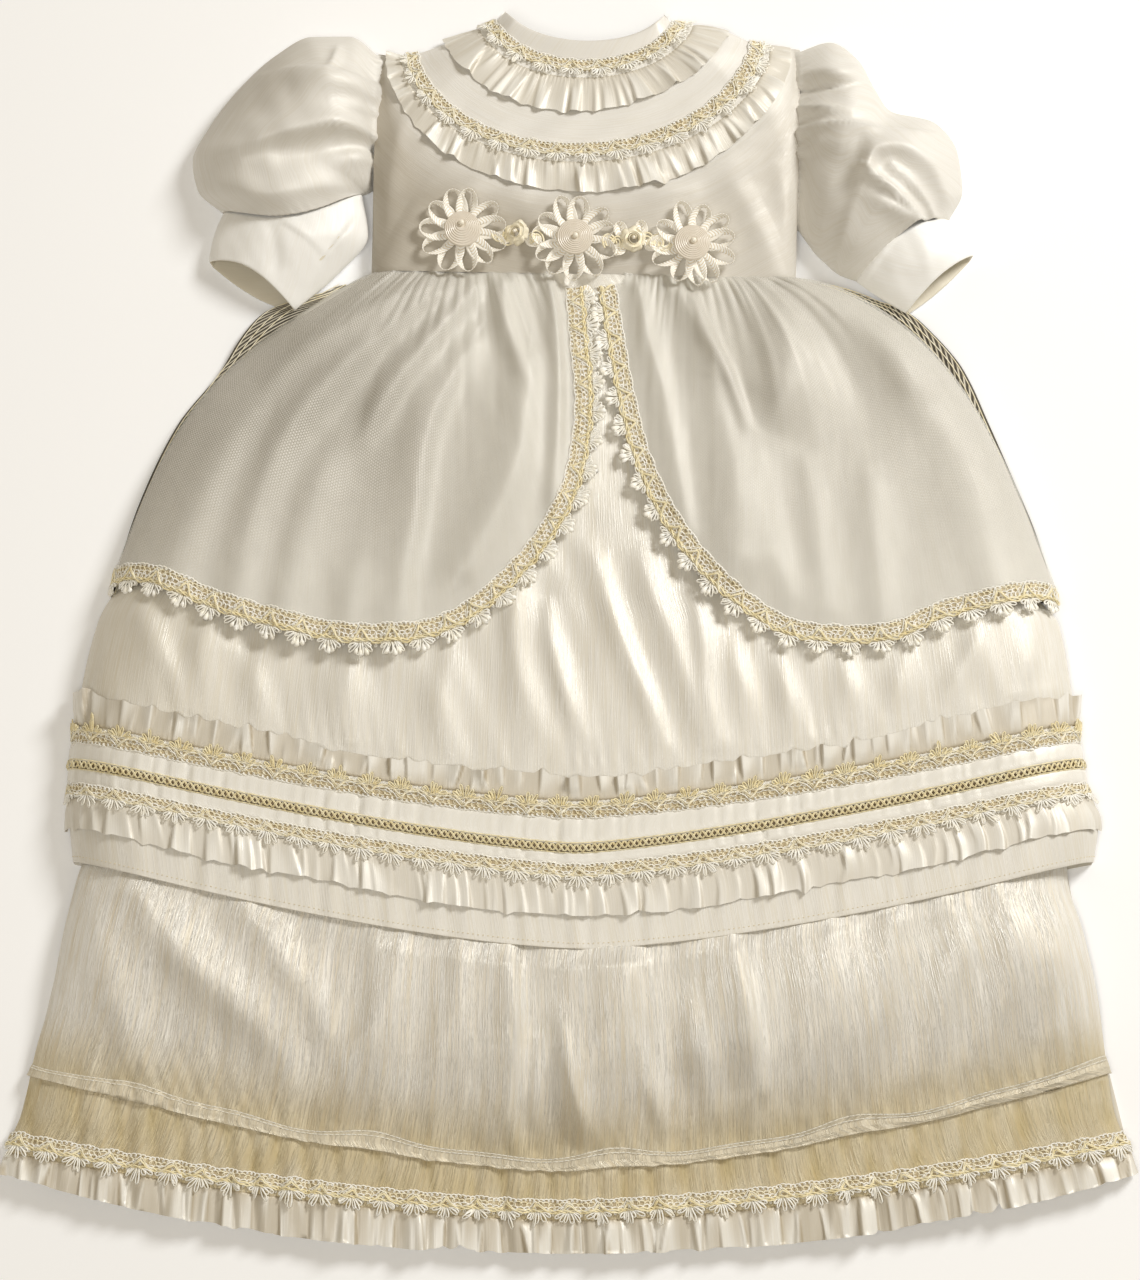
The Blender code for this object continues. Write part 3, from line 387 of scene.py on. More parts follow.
def noise(tree, vector, scale, detail=2.0, rough=0.5):
    """Blender's noise from 0 to 1. A scale of three numbers stretches it."""
    if isinstance(scale, tuple):
        vector = part_of(tree, "Mapping", ("Vector", vector), ("Scale", scale)).outputs["Vector"]
        scale = 1.0
    return part_of(tree, "TexNoise", ("Vector", vector), ("Scale", scale), ("Detail", detail),
                   ("Roughness", rough)).outputs["Fac"]


def between(tree, value, low, high, to_low=0.0, to_high=1.0):
    """A value spread from low and high to 0 and 1, or to other ends, and clamped there."""
    return part_of(tree, "MapRange", ("Value", value), ("From Min", low), ("From Max", high),
                   ("To Min", to_low), ("To Max", to_high)).outputs[0]


def tones(tree, share, light, dark):
    """Two colours mixed by share."""
    return part_of(tree, "Mix", ("Factor", share), (COLOUR_A, (*light, 1)), (COLOUR_B, (*dark, 1)),
                   data_type="RGBA").outputs[COLOUR_OUT]


def bump(tree, height, strength, distance=0.0002):
    """Relief that the light sees though the mesh has none."""
    return part_of(tree, "Bump", ("Height", height), ("Strength", strength),
                   ("Distance", distance)).outputs["Normal"]


# %% Table
TABLE_REACH, TABLE_TOP = 4000, -0.3
tree, shader = paint_of("table")
grain = part_of(tree, "TexNoise", ("Scale", 6.0)).outputs["Fac"]
tone = tones(tree, grain, (0.95, 0.955, 0.96), (0.97, 0.975, 0.98))
wire(tree, shader, ("Base Color", tone), ("Roughness", 0.8), ("Specular IOR Level", 0.1),
     ("Emission Color", (1, 1, 1, 1)), ("Emission Strength", 0.1))
corners = np.array([(-1, -1, 0), (1, -1, 0), (1, 1, 0), (-1, 1, 0)]) * TABLE_REACH + (0, 0, TABLE_TOP)
mesh_of("table", corners, np.array([[0, 1, 2, 3]]), "table")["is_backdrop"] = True

# %% Lamps and sky
DAYLIGHT = (1.0, 0.995, 0.985)
AIM = np.array((0.0, 0.0, 0.02))


def lamp(name, azimuth, elevation, distance, size, power):
    """An area lamp at a bearing from +X and a height angle, turned to the gown."""
    a, e = math.radians(azimuth), math.radians(elevation)
    toward = np.array((math.cos(e) * math.cos(a), math.cos(e) * math.sin(a), math.sin(e)))
    light = bpy.data.lights.new(name, "AREA")
    light.shape = "DISK"
    light.size = size
    light.energy = power
    light.color = DAYLIGHT
    made = bpy.data.objects.new(name, light)
    made.location = AIM + toward * distance
    made.rotation_euler = (QUARTER_TURN - e, 0, a + QUARTER_TURN)
    bpy.context.scene.collection.objects.link(made)


lamp("window", azimuth=38, elevation=39, distance=2.8, size=0.9, power=53)
lamp("ceiling", azimuth=-115, elevation=70, distance=2.4, size=1.1, power=14)
sky = bpy.data.worlds.new("sky")
sky.use_nodes = True
wire(sky.node_tree, sky.node_tree.nodes["Background"], ("Color", (1.0, 0.84, 0.59, 1)), ("Strength", 0.28))
bpy.context.scene.world = sky
bpy.context.scene.view_settings.view_transform = "Standard"

# %% Camera
camera_lens = bpy.data.cameras.new("camera")
camera_lens.lens = 87.6
camera_lens.sensor_width = 36.0
camera_lens.clip_end = 20
camera = bpy.data.objects.new("camera", camera_lens)
CAMERA_ELEVATION = math.radians(78)
CAMERA_DISTANCE = 1.9
CAMERA_TARGET = (0.0, -0.024, 0.015)
camera.location = (0.0, CAMERA_TARGET[1] - CAMERA_DISTANCE * math.cos(CAMERA_ELEVATION),
                   CAMERA_TARGET[2] + CAMERA_DISTANCE * math.sin(CAMERA_ELEVATION))
camera.rotation_euler = (QUARTER_TURN - CAMERA_ELEVATION, 0, 0)
bpy.context.scene.collection.objects.link(camera)
bpy.context.scene.camera = camera
print("camera at", [round(v, 3) for v in camera.location])

# %% [markdown]
# ## Silk
#
# The gown is of dupioni, a silk woven with uneven yarn. Thick places in the yarn, the slubs, show as
# thin streaks along the cloth that catch the light. Noises stretched many times along the yarn make
# them: one for the streaks, one for the weave and one for slight bands of tone. The rest is a soft
# sheen. The cloth map gives metres, so the same numbers suit every panel.

# %% Silk materials
YARN, WEAVE, BAND = (1300.0, 34.0, 1.0), (4200.0, 300.0, 1.0), (190.0, 7.0, 1.0)    # noise per metre
# GOLD, GREY and TAN are tones of painted shade
GOLD, GREY, TAN = (0.70, 0.585, 0.31), (0.50, 0.455, 0.38), (0.42, 0.33, 0.18)
# light and dark tone, tone of the painted shade, slub, roughness, lustre
SILKS = {
    "skirt_silk": ((0.94, 0.92, 0.86), (0.66, 0.56, 0.37), GOLD, 3.0, 0.42, 0.3),
    "tier_silk": ((0.85, 0.825, 0.76), (0.74, 0.68, 0.54), GOLD, 1.0, 0.42, 0.18),
    "bodice_silk": ((0.87, 0.85, 0.80), (0.78, 0.74, 0.65), GREY, 0.7, 0.55, 0.13),
    "sleeve_silk": ((0.82, 0.80, 0.75), (0.73, 0.69, 0.60), GREY, 0.5, 0.56, 0.13),
    # the cuff's silk is the sleeve's silk painted lighter: painted light on the cuffs, which face away from
    # the lamp
    "cuff_painted_light_silk": ((0.97, 0.965, 0.935), (0.91, 0.89, 0.83), GOLD, 0.4, 0.5, 0.05),
    "veiled_silk": ((0.83, 0.81, 0.745), (0.72, 0.68, 0.57), GREY, 0.6, 0.52, 0.3),
    "ruffle_silk": ((0.90, 0.88, 0.82), (0.82, 0.78, 0.67), TAN, 0.5, 0.46, 0.16),
    "band_silk": ((0.85, 0.83, 0.78), (0.79, 0.75, 0.66), GOLD, 0.25, 0.5, 0.2),
    # a near-black silk of painted shade, for the shade behind the faggoting's holes
    "painted_shade_silk": ((0.20, 0.14, 0.07), (0.12, 0.08, 0.04), GOLD, 0.5, 0.42, 0.0),
    "back_silk": ((0.78, 0.71, 0.55), (0.66, 0.57, 0.38), GOLD, 1.0, 0.42, 0.3)}


def silk_paint(name, light, dark, shade_tone, slub, roughness, lustre):
    """Tone = light mixed towards dark by streaks, then darkened towards the shade tone by the painted
    shade; height = streaks and a fine weave. Lustre is the share that shines like satin instead of
    scattering. The bodice's yarn runs across it."""
    tree, shader = paint_of(name)
    place = part_of(tree, "UVMap", uv_map="cloth").outputs["UV"]
    scales = [(b, a, c) if name == "bodice_silk" else (a, b, c) for a, b, c in (YARN, WEAVE, BAND)]
    yarn, weave, band = (noise(tree, place, scale, 3.0, 0.6) for scale in scales)
    streak = between(tree, yarn, 0.48, 0.70)
    soft = between(tree, band, 0.3, 0.7, 0.0, 0.55)
    mottle = part_of(tree, "Math", (0, soft), (1, streak), operation="SUBTRACT").outputs[0]
    share = part_of(tree, "Attribute", attribute_name="painted_shade").outputs["Fac"]
    painted_shade = part_of(tree, "Mix", ("Factor", share), (COLOUR_A, tones(tree, mottle, light, dark)),
                   (COLOUR_B, (*shade_tone, 1)), data_type="RGBA", blend_type="MULTIPLY").outputs[COLOUR_OUT]
    height = part_of(tree, "Math", (0, streak), (1, 1.6), (2, weave), operation="MULTIPLY_ADD").outputs[0]
    gloss = between(tree, streak, 0.0, 1.0, roughness + 0.05, roughness - 0.12)
    wire(tree, shader, ("Base Color", painted_shade), ("Normal", bump(tree, height, 0.35 * slub)),
         ("Roughness", gloss), ("Metallic", lustre), ("Specular IOR Level", 0.6))


for name, measures in SILKS.items():
    silk_paint(name, *measures)
print("silks:", len(SILKS))

# %% [markdown]
# ## Net
#
# Net is mostly holes. Modelling each one would take millions of faces, so its material cuts them: the
# cloth map is turned by 60 degrees twice, and what lies close to one of the three families of lines is
# thread while the rest is clear. The net in folds at the sides shows one slanting family in a painted
# shadow tone, over a nearly closed dark layer of painted shade.

# %% Net materials
def lines_across(tree, source, angle, spacing):
    """Distance to the nearest of many parallel lines, from 0 on a line to 0.5 half way between."""
    turned = part_of(tree, "Mapping", ("Vector", source), ("Rotation", (0, 0, math.radians(angle))),
                     ("Scale", (1 / spacing,) * 3))
    place = part_of(tree, "SeparateXYZ", ("Vector", turned.outputs["Vector"]))
    return part_of(tree, "Math", (0, place.outputs["X"]), (1, 0.5), operation="PINGPONG").outputs[0]


def net_paint(name, colour, spacing, thread, families=(0, 60, 120)):
    """Clear, but for threads: the least of the line distances, below the share that is thread."""
    tree, shader = paint_of(name)
    place = part_of(tree, "UVMap", uv_map="cloth").outputs["UV"]
    near = lines_across(tree, place, families[0], spacing)
    for angle in families[1:]:
        line = lines_across(tree, place, angle, spacing)
        near = part_of(tree, "Math", (0, near), (1, line), operation="MINIMUM").outputs[0]
    tone = tones(tree, noise(tree, place, 90.0), colour, [0.86 * c for c in colour])
    solid = between(tree, near, thread * 0.5 + 0.04, thread * 0.5)
    wire(tree, shader, ("Alpha", solid), ("Base Color", tone), ("Roughness", 0.55))


net_paint("net_white", (0.88, 0.86, 0.80), 0.0017, 0.18)
# the side net painted in shade: one family of threads in a shadow tone, then a nearly closed dark layer
net_paint("net_shadow", (0.66, 0.61, 0.49), 0.0024, 0.34, (-28,))
net_paint("net_painted_shade", (0.10, 0.085, 0.06), 0.0012, 0.8)

# %% [markdown]
# ## Cord, ribbon, shell and pearl
#
# Cord and ribbon are solid, with the twist or the ribs as a bump. Floss and ribbon let some light
# through, and their shaded sides are lifted by painted light: a faint glow of their own tone. The
# ribbon's dark tone in the grooves between its ribs is painted shade. Shell, pearl and rose ribbon have
# a soft mottle under a thin clear coat.

# %% Cord and ribbon materials
# light and dark tone, roughness, lustre, glow of painted light
CORDS = {
    "cream_cord": ((0.98, 0.93, 0.76), (0.92, 0.82, 0.55), 0.45, 0.0, 0.05),
    "white_cord": ((1.0, 0.985, 0.93), (0.98, 0.94, 0.82), 0.4, 0.0, 0.05),
    "straw_cord": ((0.96, 0.88, 0.62), (0.90, 0.78, 0.46), 0.45, 0.1, 0.05),
    # a dark strip of painted shade under the braid's cords
    "braid_painted_shade": ((0.60, 0.51, 0.34), (0.46, 0.37, 0.22), 0.7, 0.0, 0.0),
    "stitch_thread": ((0.80, 0.70, 0.46), (0.70, 0.58, 0.34), 0.45, 0.0, 0.05)}
RIB = 0.0020


def cord_paint(name, light, dark, roughness, lustre, glow):
    """Tone by a noise of a few millimetres, and fine strands as a bump. The glow is painted light on the
    cords' shaded sides.
    """
    tree, shader = paint_of(name)
    place = part_of(tree, "TexCoord").outputs["Object"]
    tone = tones(tree, between(tree, noise(tree, place, 260.0), 0.35, 0.68), light, dark)
    strands = bump(tree, noise(tree, place, 2600.0), 0.4)
    wire(tree, shader, ("Base Color", tone), ("Normal", strands), ("Roughness", roughness),
         ("Metallic", lustre), ("Emission Color", tone), ("Emission Strength", glow))


def ribbon_paint(name, light, dark):
    """Grosgrain: ribs across the ribbon, one every RIB metres along it. The dark tone in the groove at
    each rib line is painted shade, and the glow is painted light.
    """
    tree, shader = paint_of(name)
    place = part_of(tree, "UVMap", uv_map="cloth").outputs["UV"]
    line = lines_across(tree, place, 0, RIB)
    tone = tones(tree, between(tree, line, 0.0, 0.42), dark, light)
    wire(tree, shader, ("Base Color", tone), ("Normal", bump(tree, line, 0.45, 0.0003)), ("Roughness", 0.45),
         ("Emission Color", tone), ("Emission Strength", 0.12))


for name, measures in CORDS.items():
    cord_paint(name, *measures)
ribbon_paint("flower_ribbon", (1.0, 0.99, 0.95), (0.68, 0.60, 0.44))

# %% Shell, pearl and rose ribbon
def shell_like(name, light, dark, scale, roughness):
    """A soft mottle and a thin clear coat."""
    tree, shader = paint_of(name)
    place = part_of(tree, "TexCoord").outputs["Object"]
    wire(tree, shader, ("Base Color", tones(tree, noise(tree, place, scale), light, dark)),
         ("Roughness", roughness), ("Coat Weight", 0.35), ("Coat Roughness", 0.15))


shell_like("button_shell", (0.86, 0.80, 0.70), (0.76, 0.68, 0.56), 300.0, 0.3)
shell_like("pearl", (0.98, 0.94, 0.84), (0.92, 0.84, 0.68), 500.0, 0.3)
shell_like("rose_ribbon", (1.0, 0.96, 0.82), (0.96, 0.87, 0.64), 220.0, 0.5)
print("materials:", len(bpy.data.materials))

# %% [markdown]
# ## The skirt's measures
#
# These are the pattern's numbers in millimetres: how high the padded front stands, where the side
# edges lie, and the seam lines across each panel. A line is the height of its middle, how far it
# climbs to the sides and how suddenly. The side rolls over a quarter circle to the table.

# %% Measures of the skirt
LAYER_STEP = 1.3         # from one back panel up to the next
LAYER_DROP = 3.0         # from one front panel down to the next
EDGE_REST = 0.6          # a front panel's side edge, above its back panel's underside
SIDE_SHARE = 0.07        # share of the columns that roll down at each side
WAIST_GAP = 0.35         # from the waist seam to the edge of the cloth on either side
HEM_FOLD = 0.45          # radius of the turn at a hem
FOLD_RISE = 1.8          # the silk's folds stand this many times higher than their tables say
WAIST_LEFT = (-125.0, 211.5)
WAIST_RIGHT = (142.0, 206.0)
# (y, height of the outermost layer, width of the side's roll)
DOME = np.array([(212, 16.5, 18), (190, 20, 60), (150, 28, 66), (100, 33, 58), (40, 36, 52), (-30, 36.5, 50),
                 (-110, 36, 50), (-214, 33.5, 50), (-240, 31, 50), (-290, 25.5, 46), (-340, 20, 42),
                 (-376, 16.5, 40), (-392, 14.5, 40)], float)
# (y, left x, right x)
SKIRT_SIDES = np.array([(208, -111, 128), (190, -146, 172), (150, -194, 218), (100, -233, 243),
                        (50, -253, 260), (15, -263, 272), (-50, -287, 296), (-112, -294, 303),
                        (-150, -292, 300), (-168, -297, 300), (-200, -304, 308), (-242, -311, 316),
                        (-274, -319, 319), (-307, -325, 323), (-330, -333, 331),
                        (-350, -335, 336)], float)
# (middle y, rise to the sides, power): waist, 0-6 under the tier, then tuck 11-13, braid 14-15, hem 16
SKIRT_LINES = ((208, 0, 1), (140, 0, 1), (60, 0, 1), (-30, 0, 1), (-110, 18, 1.5), (-170, 36, 1.5),
               (-206, 50, 1.5), (-228, 54, 1.5), (-252, 56, 1.5), (-280, 57, 1.5), (-310, 57, 1.6),
               (-335, 57, 1.6), (-343.5, 57, 1.6), (-346, 56.5, 1.6), (-360, 40, 1.6), (-371.5, 40, 1.6),
               (-377, 40.5, 1.7), (-391, 46, 2.2))


def read(table, y, column):
    """One column of a table whose first column falls from the waist to the hem."""
    return smooth(-np.asarray(y, float), -table[:, 0], table[:, column])


def waist_y(x):
    """The waist seam slopes a little."""
    return np.interp(x, (WAIST_LEFT[0], WAIST_RIGHT[0]), (WAIST_LEFT[1], WAIST_RIGHT[1]))


def front_panel(lines, sides, layer, rows, columns, relief):
    """Column w turns over the left roll by a quarter circle, runs flat, and turns down again:
    x = left + roll (1 - cos a) + flat run + roll cos b, height = rest + sin a sin b (dome + relief).
    Row s lies at y = middle + rise |across| ^ power."""
    middle, rise, power = (smooth(rows, range(len(lines)), numbers)[:, None] for numbers in zip(*lines))
    w = np.linspace(0, 1, columns)
    a, b = (ramp(side, 0, SIDE_SHARE) * QUARTER_TURN for side in (w, 1 - w))
    left, right = (read(sides, middle + rise, k) + out for k, out in ((1, -0.4), (2, 0.4)))
    roll = read(DOME, middle + rise, 2)
    flat = ramp(w, SIDE_SHARE, 1 - SIDE_SHARE)
    x = left + roll * (1 - np.cos(a)) + (right - left - 2 * roll) * flat + roll * np.cos(b)
    y = middle + rise * np.abs((2 * x - left - right) / (right - left)) ** power
    y = y + (waist_y(x) - WAIST_GAP - y) * ramp(rows, 1, 0)[:, None] ** 3
    rest = layer * LAYER_STEP + EDGE_REST
    top = read(DOME, y, 1) - layer * LAYER_DROP - rest
    return np.dstack((x, y, rest + np.sin(a) * np.sin(b) * (top + relief(x, y))))


def turned_hem(points, depth, steps=4):
    """Rows added to a panel's lower edge: half a small circle, then a strip back underneath."""
    last = points[-1]
    down = unit(last - points[-3])
    normal = grid_normals(points)[-1]
    turn = np.linspace(0, math.pi, steps + 1)[1:, None, None]
    bend = last + HEM_FOLD * (np.sin(turn) * down - (1 - np.cos(turn)) * normal)
    return np.concatenate((points, bend, (bend[-1] - depth * down)[None]))


print("skirt front at the tier's hem:",
      front_panel(SKIRT_LINES, SKIRT_SIDES, 2, np.array([6.0]), 5, lambda x, y: 0)[0, 2].round(1))

# %% [markdown]
# ## Skirt front
#
# The widest panel is one breadth of dupioni, gathered at the waist, with a pressed tuck near the hem.
# Only its lower third shows, so most of its rows are spent there. Its pleats are listed one by one: a
# sharp box pleat left of the middle and a broad dark hollow beside it.

# %% Skirt front
SKIRT_FOLDS = (
    ((-39, -205, 3, 18, 5), (-34, -238, 6, 22, 4.5), (-34, -279, 6, 24, 4.5), (-36, -314, 4, 20, 5),
     (-36, -336, 1, 14, 6)),
    ((29, -202, 4, 40, 14), (31, -235, 8, 42, 15), (25, -273, 7, 38, 16), (16, -309, 4, 30, 16),
     (12, -332, 1, 22, 14)),
    ((-6, -250, 1, 5, 5), (-2, -279, 4, 6, 6), (5, -309, 4, 6, 6), (11, -326, 1, 5, 5)),
    ((-19, -268, 1, 4, 5), (-20, -297, 3, 5, 5), (-21, -326, 1, 4, 4)),
    ((44, -273, 1, 6, 6), (48, -297, 3, 7, 7), (55, -317, 1, 6, 6)),
    ((94, -202, 3, 26, 5), (102, -235, 6, 30, 4), (108, -268, 6, 30, 4), (110, -297, 3, 20, 5)),
    ((154, -199, 3, 24, 14), (152, -235, 6, 32, 16), (146, -270, 5, 30, 16), (139, -306, 2, 22, 14)),
    ((71, -250, 1, 8, 8), (77, -279, 3, 9, 9), (84, -309, 1, 8, 8)),
    ((200, -178, 2, 12, 12), (187, -220, 4, 14, 14), (175, -262, 4, 14, 14), (166, -300, 1, 12, 12)),
    ((224, -178, 2, 10, 12), (229, -211, 4, 11, 13), (219, -250, 3, 11, 13), (211, -285, 1, 10, 12)),
    ((254, -172, 2, 12, 10), (262, -205, 5, 14, 11), (260, -238, 4, 14, 11), (245, -276, 1, 12, 11)),
    ((287, -172, 1, 10, 10), (287, -214, 3, 12, 10), (284, -262, 1, 10, 10)),
    ((-264, -166, 2, 12, 14), (-241, -205, 5, 14, 16), (-206, -238, 5, 15, 17),
     (-174, -270, 3, 14, 16), (-159, -300, 1, 12, 12)),
    ((-283, -184, 1, 10, 10), (-273, -232, 3, 12, 12), (-257, -279, 1, 10, 10)),
    ((-198, -172, 2, 10, 12), (-180, -208, 4, 12, 13), (-154, -244, 3, 12, 13),
     (-136, -279, 1, 10, 10)),
    ((-100, -202, 2, 12, 14), (-108, -244, 5, 14, 16), (-125, -285, 4, 14, 16),
     (-141, -314, 1, 12, 12)),
    ((-64, -202, 2, 10, 12), (-68, -244, 4, 12, 13), (-79, -285, 3, 12, 12), (-94, -317, 1, 10, 10)),
)


def puckers(x, y, line_y, pitch, height, reach, lean, seed):
    """Short creases that start at a line of stitching and die out above it: a wave along x with an
    uneven pitch, leaning by lean mm per mm, times exp(-distance / reach)."""
    rng = np.random.default_rng(seed)
    away = np.maximum(y - line_y, 0)
    place = (x + lean * away) / pitch
    wander = sum(np.sin(place * k + p) * 0.9 / k for k, p in zip((0.31, 0.77, 1.3), rng.uniform(0, 6, 3)))
    strength = 0.6 + 0.4 * np.sin(place * 0.43 + rng.uniform(0, 6))
    wave = strength * np.abs(np.sin(place * math.pi + wander)) ** 1.5
    return height * wave * np.exp(-away / reach) * (y > line_y - 3)


def tuck_y(x):
    """The tuck's stitch line over the skirt."""
    return -335 + 57 * np.abs(x / 333) ** 1.6


def tier_hem_y(x):
    """The hem of the tier that lies over the skirt."""
    return -214 + 55 * np.abs(x / 308) ** 1.5


def hem_gathers(x, y):
    """The gathers below the tuck, 0 in their hollows and 1 on top: |sin| with an uneven pitch."""
    return np.abs(np.sin(x * 0.17 + 2.0 * np.sin(x * 0.031) + 0.02 * y))


def skirt_relief(x, y):
    """Folds, slight waves, leaning puckers above the tuck and upright gathers below it. Under the tier
    the folds are pressed down to a quarter."""
    away = y - tuck_y(x)
    free = 0.25 + 0.75 * ramp(tier_hem_y(x) - y, -2, 12)
    below = ramp(-away, 8, 12)
    swell = 3.4 * np.exp(-((away - 62) / 34) ** 2) - 1.5 * np.exp(-(away / 16) ** 2)
    return (FOLD_RISE * fold_height(x, y, SKIRT_FOLDS) * free + swell * free
            + unevenness(x, y, 3, 56, 2.6) * (0.4 + 0.6 * free) + unevenness(x, y, 4, 15, 0.45, 4)
            + puckers(x, y, tuck_y(x) - 2, 15, 1.4, 20, 0.5, 5) * (1 - below)
            + below * (1.5 * hem_gathers(x, y) + 0.6 * np.sin(x * 0.52 + 2 * np.sin(x * 0.09)) - 1.0))


skirt_rows = np.concatenate((np.linspace(0, 5.6, 26), np.linspace(5.7, 16, 112), np.linspace(16.1, 17, 8)))
skirt = Panel(front_panel(SKIRT_LINES, SKIRT_SIDES, 2, skirt_rows, 270, skirt_relief), skirt_rows,
              "skirt_front_silk")
to_hem = skirt.points[skirt_rows <= 16]
hemmed = turned_hem(to_hem, 9)
x, y = hemmed[..., 0], hemmed[..., 1]
# painted shade: darker towards the tuck and the hem, where the skirt falls away from the light, and in the
# hollows of the gathers below the tuck
low = ramp(tuck_y(x) - y, -42, 6)
hollow = (1 - hem_gathers(x, y)) ** 2 * (y < tuck_y(x) - 8)
painted_shade = np.clip(low ** 2 * (3 - 2 * low) * (0.66 + unevenness(x, y, 9, 24, 0.2)) + 0.16 * hollow, 0, 1.1)
cloth(skirt.name, hemmed, "skirt_silk", "silk", "skirt_front", "gathered", painted_shade=painted_shade, flat=to_hem,
      true_row=60)

# %% [markdown]
# ## Ruffles
#
# A ruffle is a long strip gathered along one edge. The stitching squeezes it into pleats of uneven
# width, and they open towards the free edge. Each pleat here is one hump between two sharp valleys;
# the widths are drawn at random from a fixed seed, because a real gathering thread slips.

# %% Ruffle maker
RUFFLE_ROWS = np.array((0, 0.04, 0.1, 0.18, 0.28, 0.4, 0.52, 0.64, 0.76, 0.87, 0.95, 1.0))[:, None]


def ruffle(name, panel, sewn, free, seed, rise=3.6, spacing=11.5, shade=0.4):
    """Across a pleat the lift is height * exp(-(distance / reach) ^ 1.7), with a short reach on one
    side and a long one on the other: a soft slope that drops at a sharp edge. Each pleat has its own
    lean, and grows with v ^ 0.6 or fades out from the seam; the free edge runs out in points. The
    steep sides, the hollows between pleats and the strip along the seam are in shade, and that shade is
    painted into the silk as a darker tone."""
    rng = np.random.default_rng(seed)
    total, column_at = panel.tape(free)
    along = np.linspace(0, total, int(total))
    v = RUFFLE_ROWS
    pleats = np.zeros((len(v), len(along)))
    point = 0.8 * np.sin(along / 23 + seed)
    place, count = spacing * rng.uniform(), 0
    while place < total + 2:
        size = rng.uniform(0.4, 1.5)
        off = (along - place - rng.normal(0, 2.4) * v) * rng.choice((-1, 1))
        reach = np.where(off > 0, 1.0, 0.6 * spacing * size) * (0.4 + 0.6 * v)
        grows = rng.choice(3, p=(0.66, 0.2, 0.14))
        run = (v ** 0.6, np.exp(-(v / 0.6) ** 2) * v ** 0.3, np.clip(v - 0.3, 0, 1) ** 0.5)[grows]
        pleats += rng.uniform(0.35, 1.0) * size ** 0.5 * np.exp(-(np.abs(off) / reach) ** FOLD_POWER) * run
        point += rng.normal(0.35, 1.0) * ramp(np.abs(off[-1]), 0.4 * spacing, 0)
        place += spacing * rng.uniform(0.3, 1.2)
        count += 1
    depth = np.linalg.norm(panel.at(free, 0.5)[0] - panel.at(sewn, 0.5)[0])
    crimp = 0.4 * np.sin(2.1 * along + 2 * np.sin(along / 9)) * np.exp(-v / 0.16)
    curl = np.sin(along / 7.3 + seed) * np.clip(v - 0.7, 0, 1)
    lift = 0.9 + pleats * rise * (0.3 + 0.7 * ramp(v, 0, 0.5)) + crimp + curl - 0.8 * np.exp(-v / 0.05)
    points, _ = panel.at(sewn + (free - sewn) * (v + v * point / depth), column_at(along), lift)
    steep = np.clip(3.0 * np.abs(np.gradient(pleats, axis=1)) - 0.3, 0, 1)
    valley = 0.8 * steep + 0.6 * np.exp(-(pleats / 0.3) ** 2) + 0.5 * np.exp(-v / 0.1)
    valley = np.clip(shade * valley, 0, 1)
    upwards = free < sewn
    cloth(name, points[::-1] if upwards else points, "ruffle_silk", "ruffle_silk", name.removesuffix("_silk"),
          "gathered", [panel.name], valley[::-1] if upwards else valley, true_row=0 if upwards else -1)
    print("  ", count, "pleats")


# %% [markdown]
# ## Braid
#
# Looped braid is machine-made gimp: cords that zigzag across each other, a chain of picots along the
# straight edge and little fans of loops along the other, with a pair twisted between. Drawing it flat
# is easy, with u along the braid and v across it. The panel then tells where each point lies in the
# room. One repeat is 19 mm.

# %% Braid maker
BRAID_WIDTH = 11.5
REPEAT = 19.0
# colour, pitch, swing and radius of the rows of loops, taken in turn
LOOP_ROWS = (("white", 2.9, 1.15, 0.45), ("cream", 3.5, 1.4, 0.42), ("white", 3.9, 1.5, 0.45))


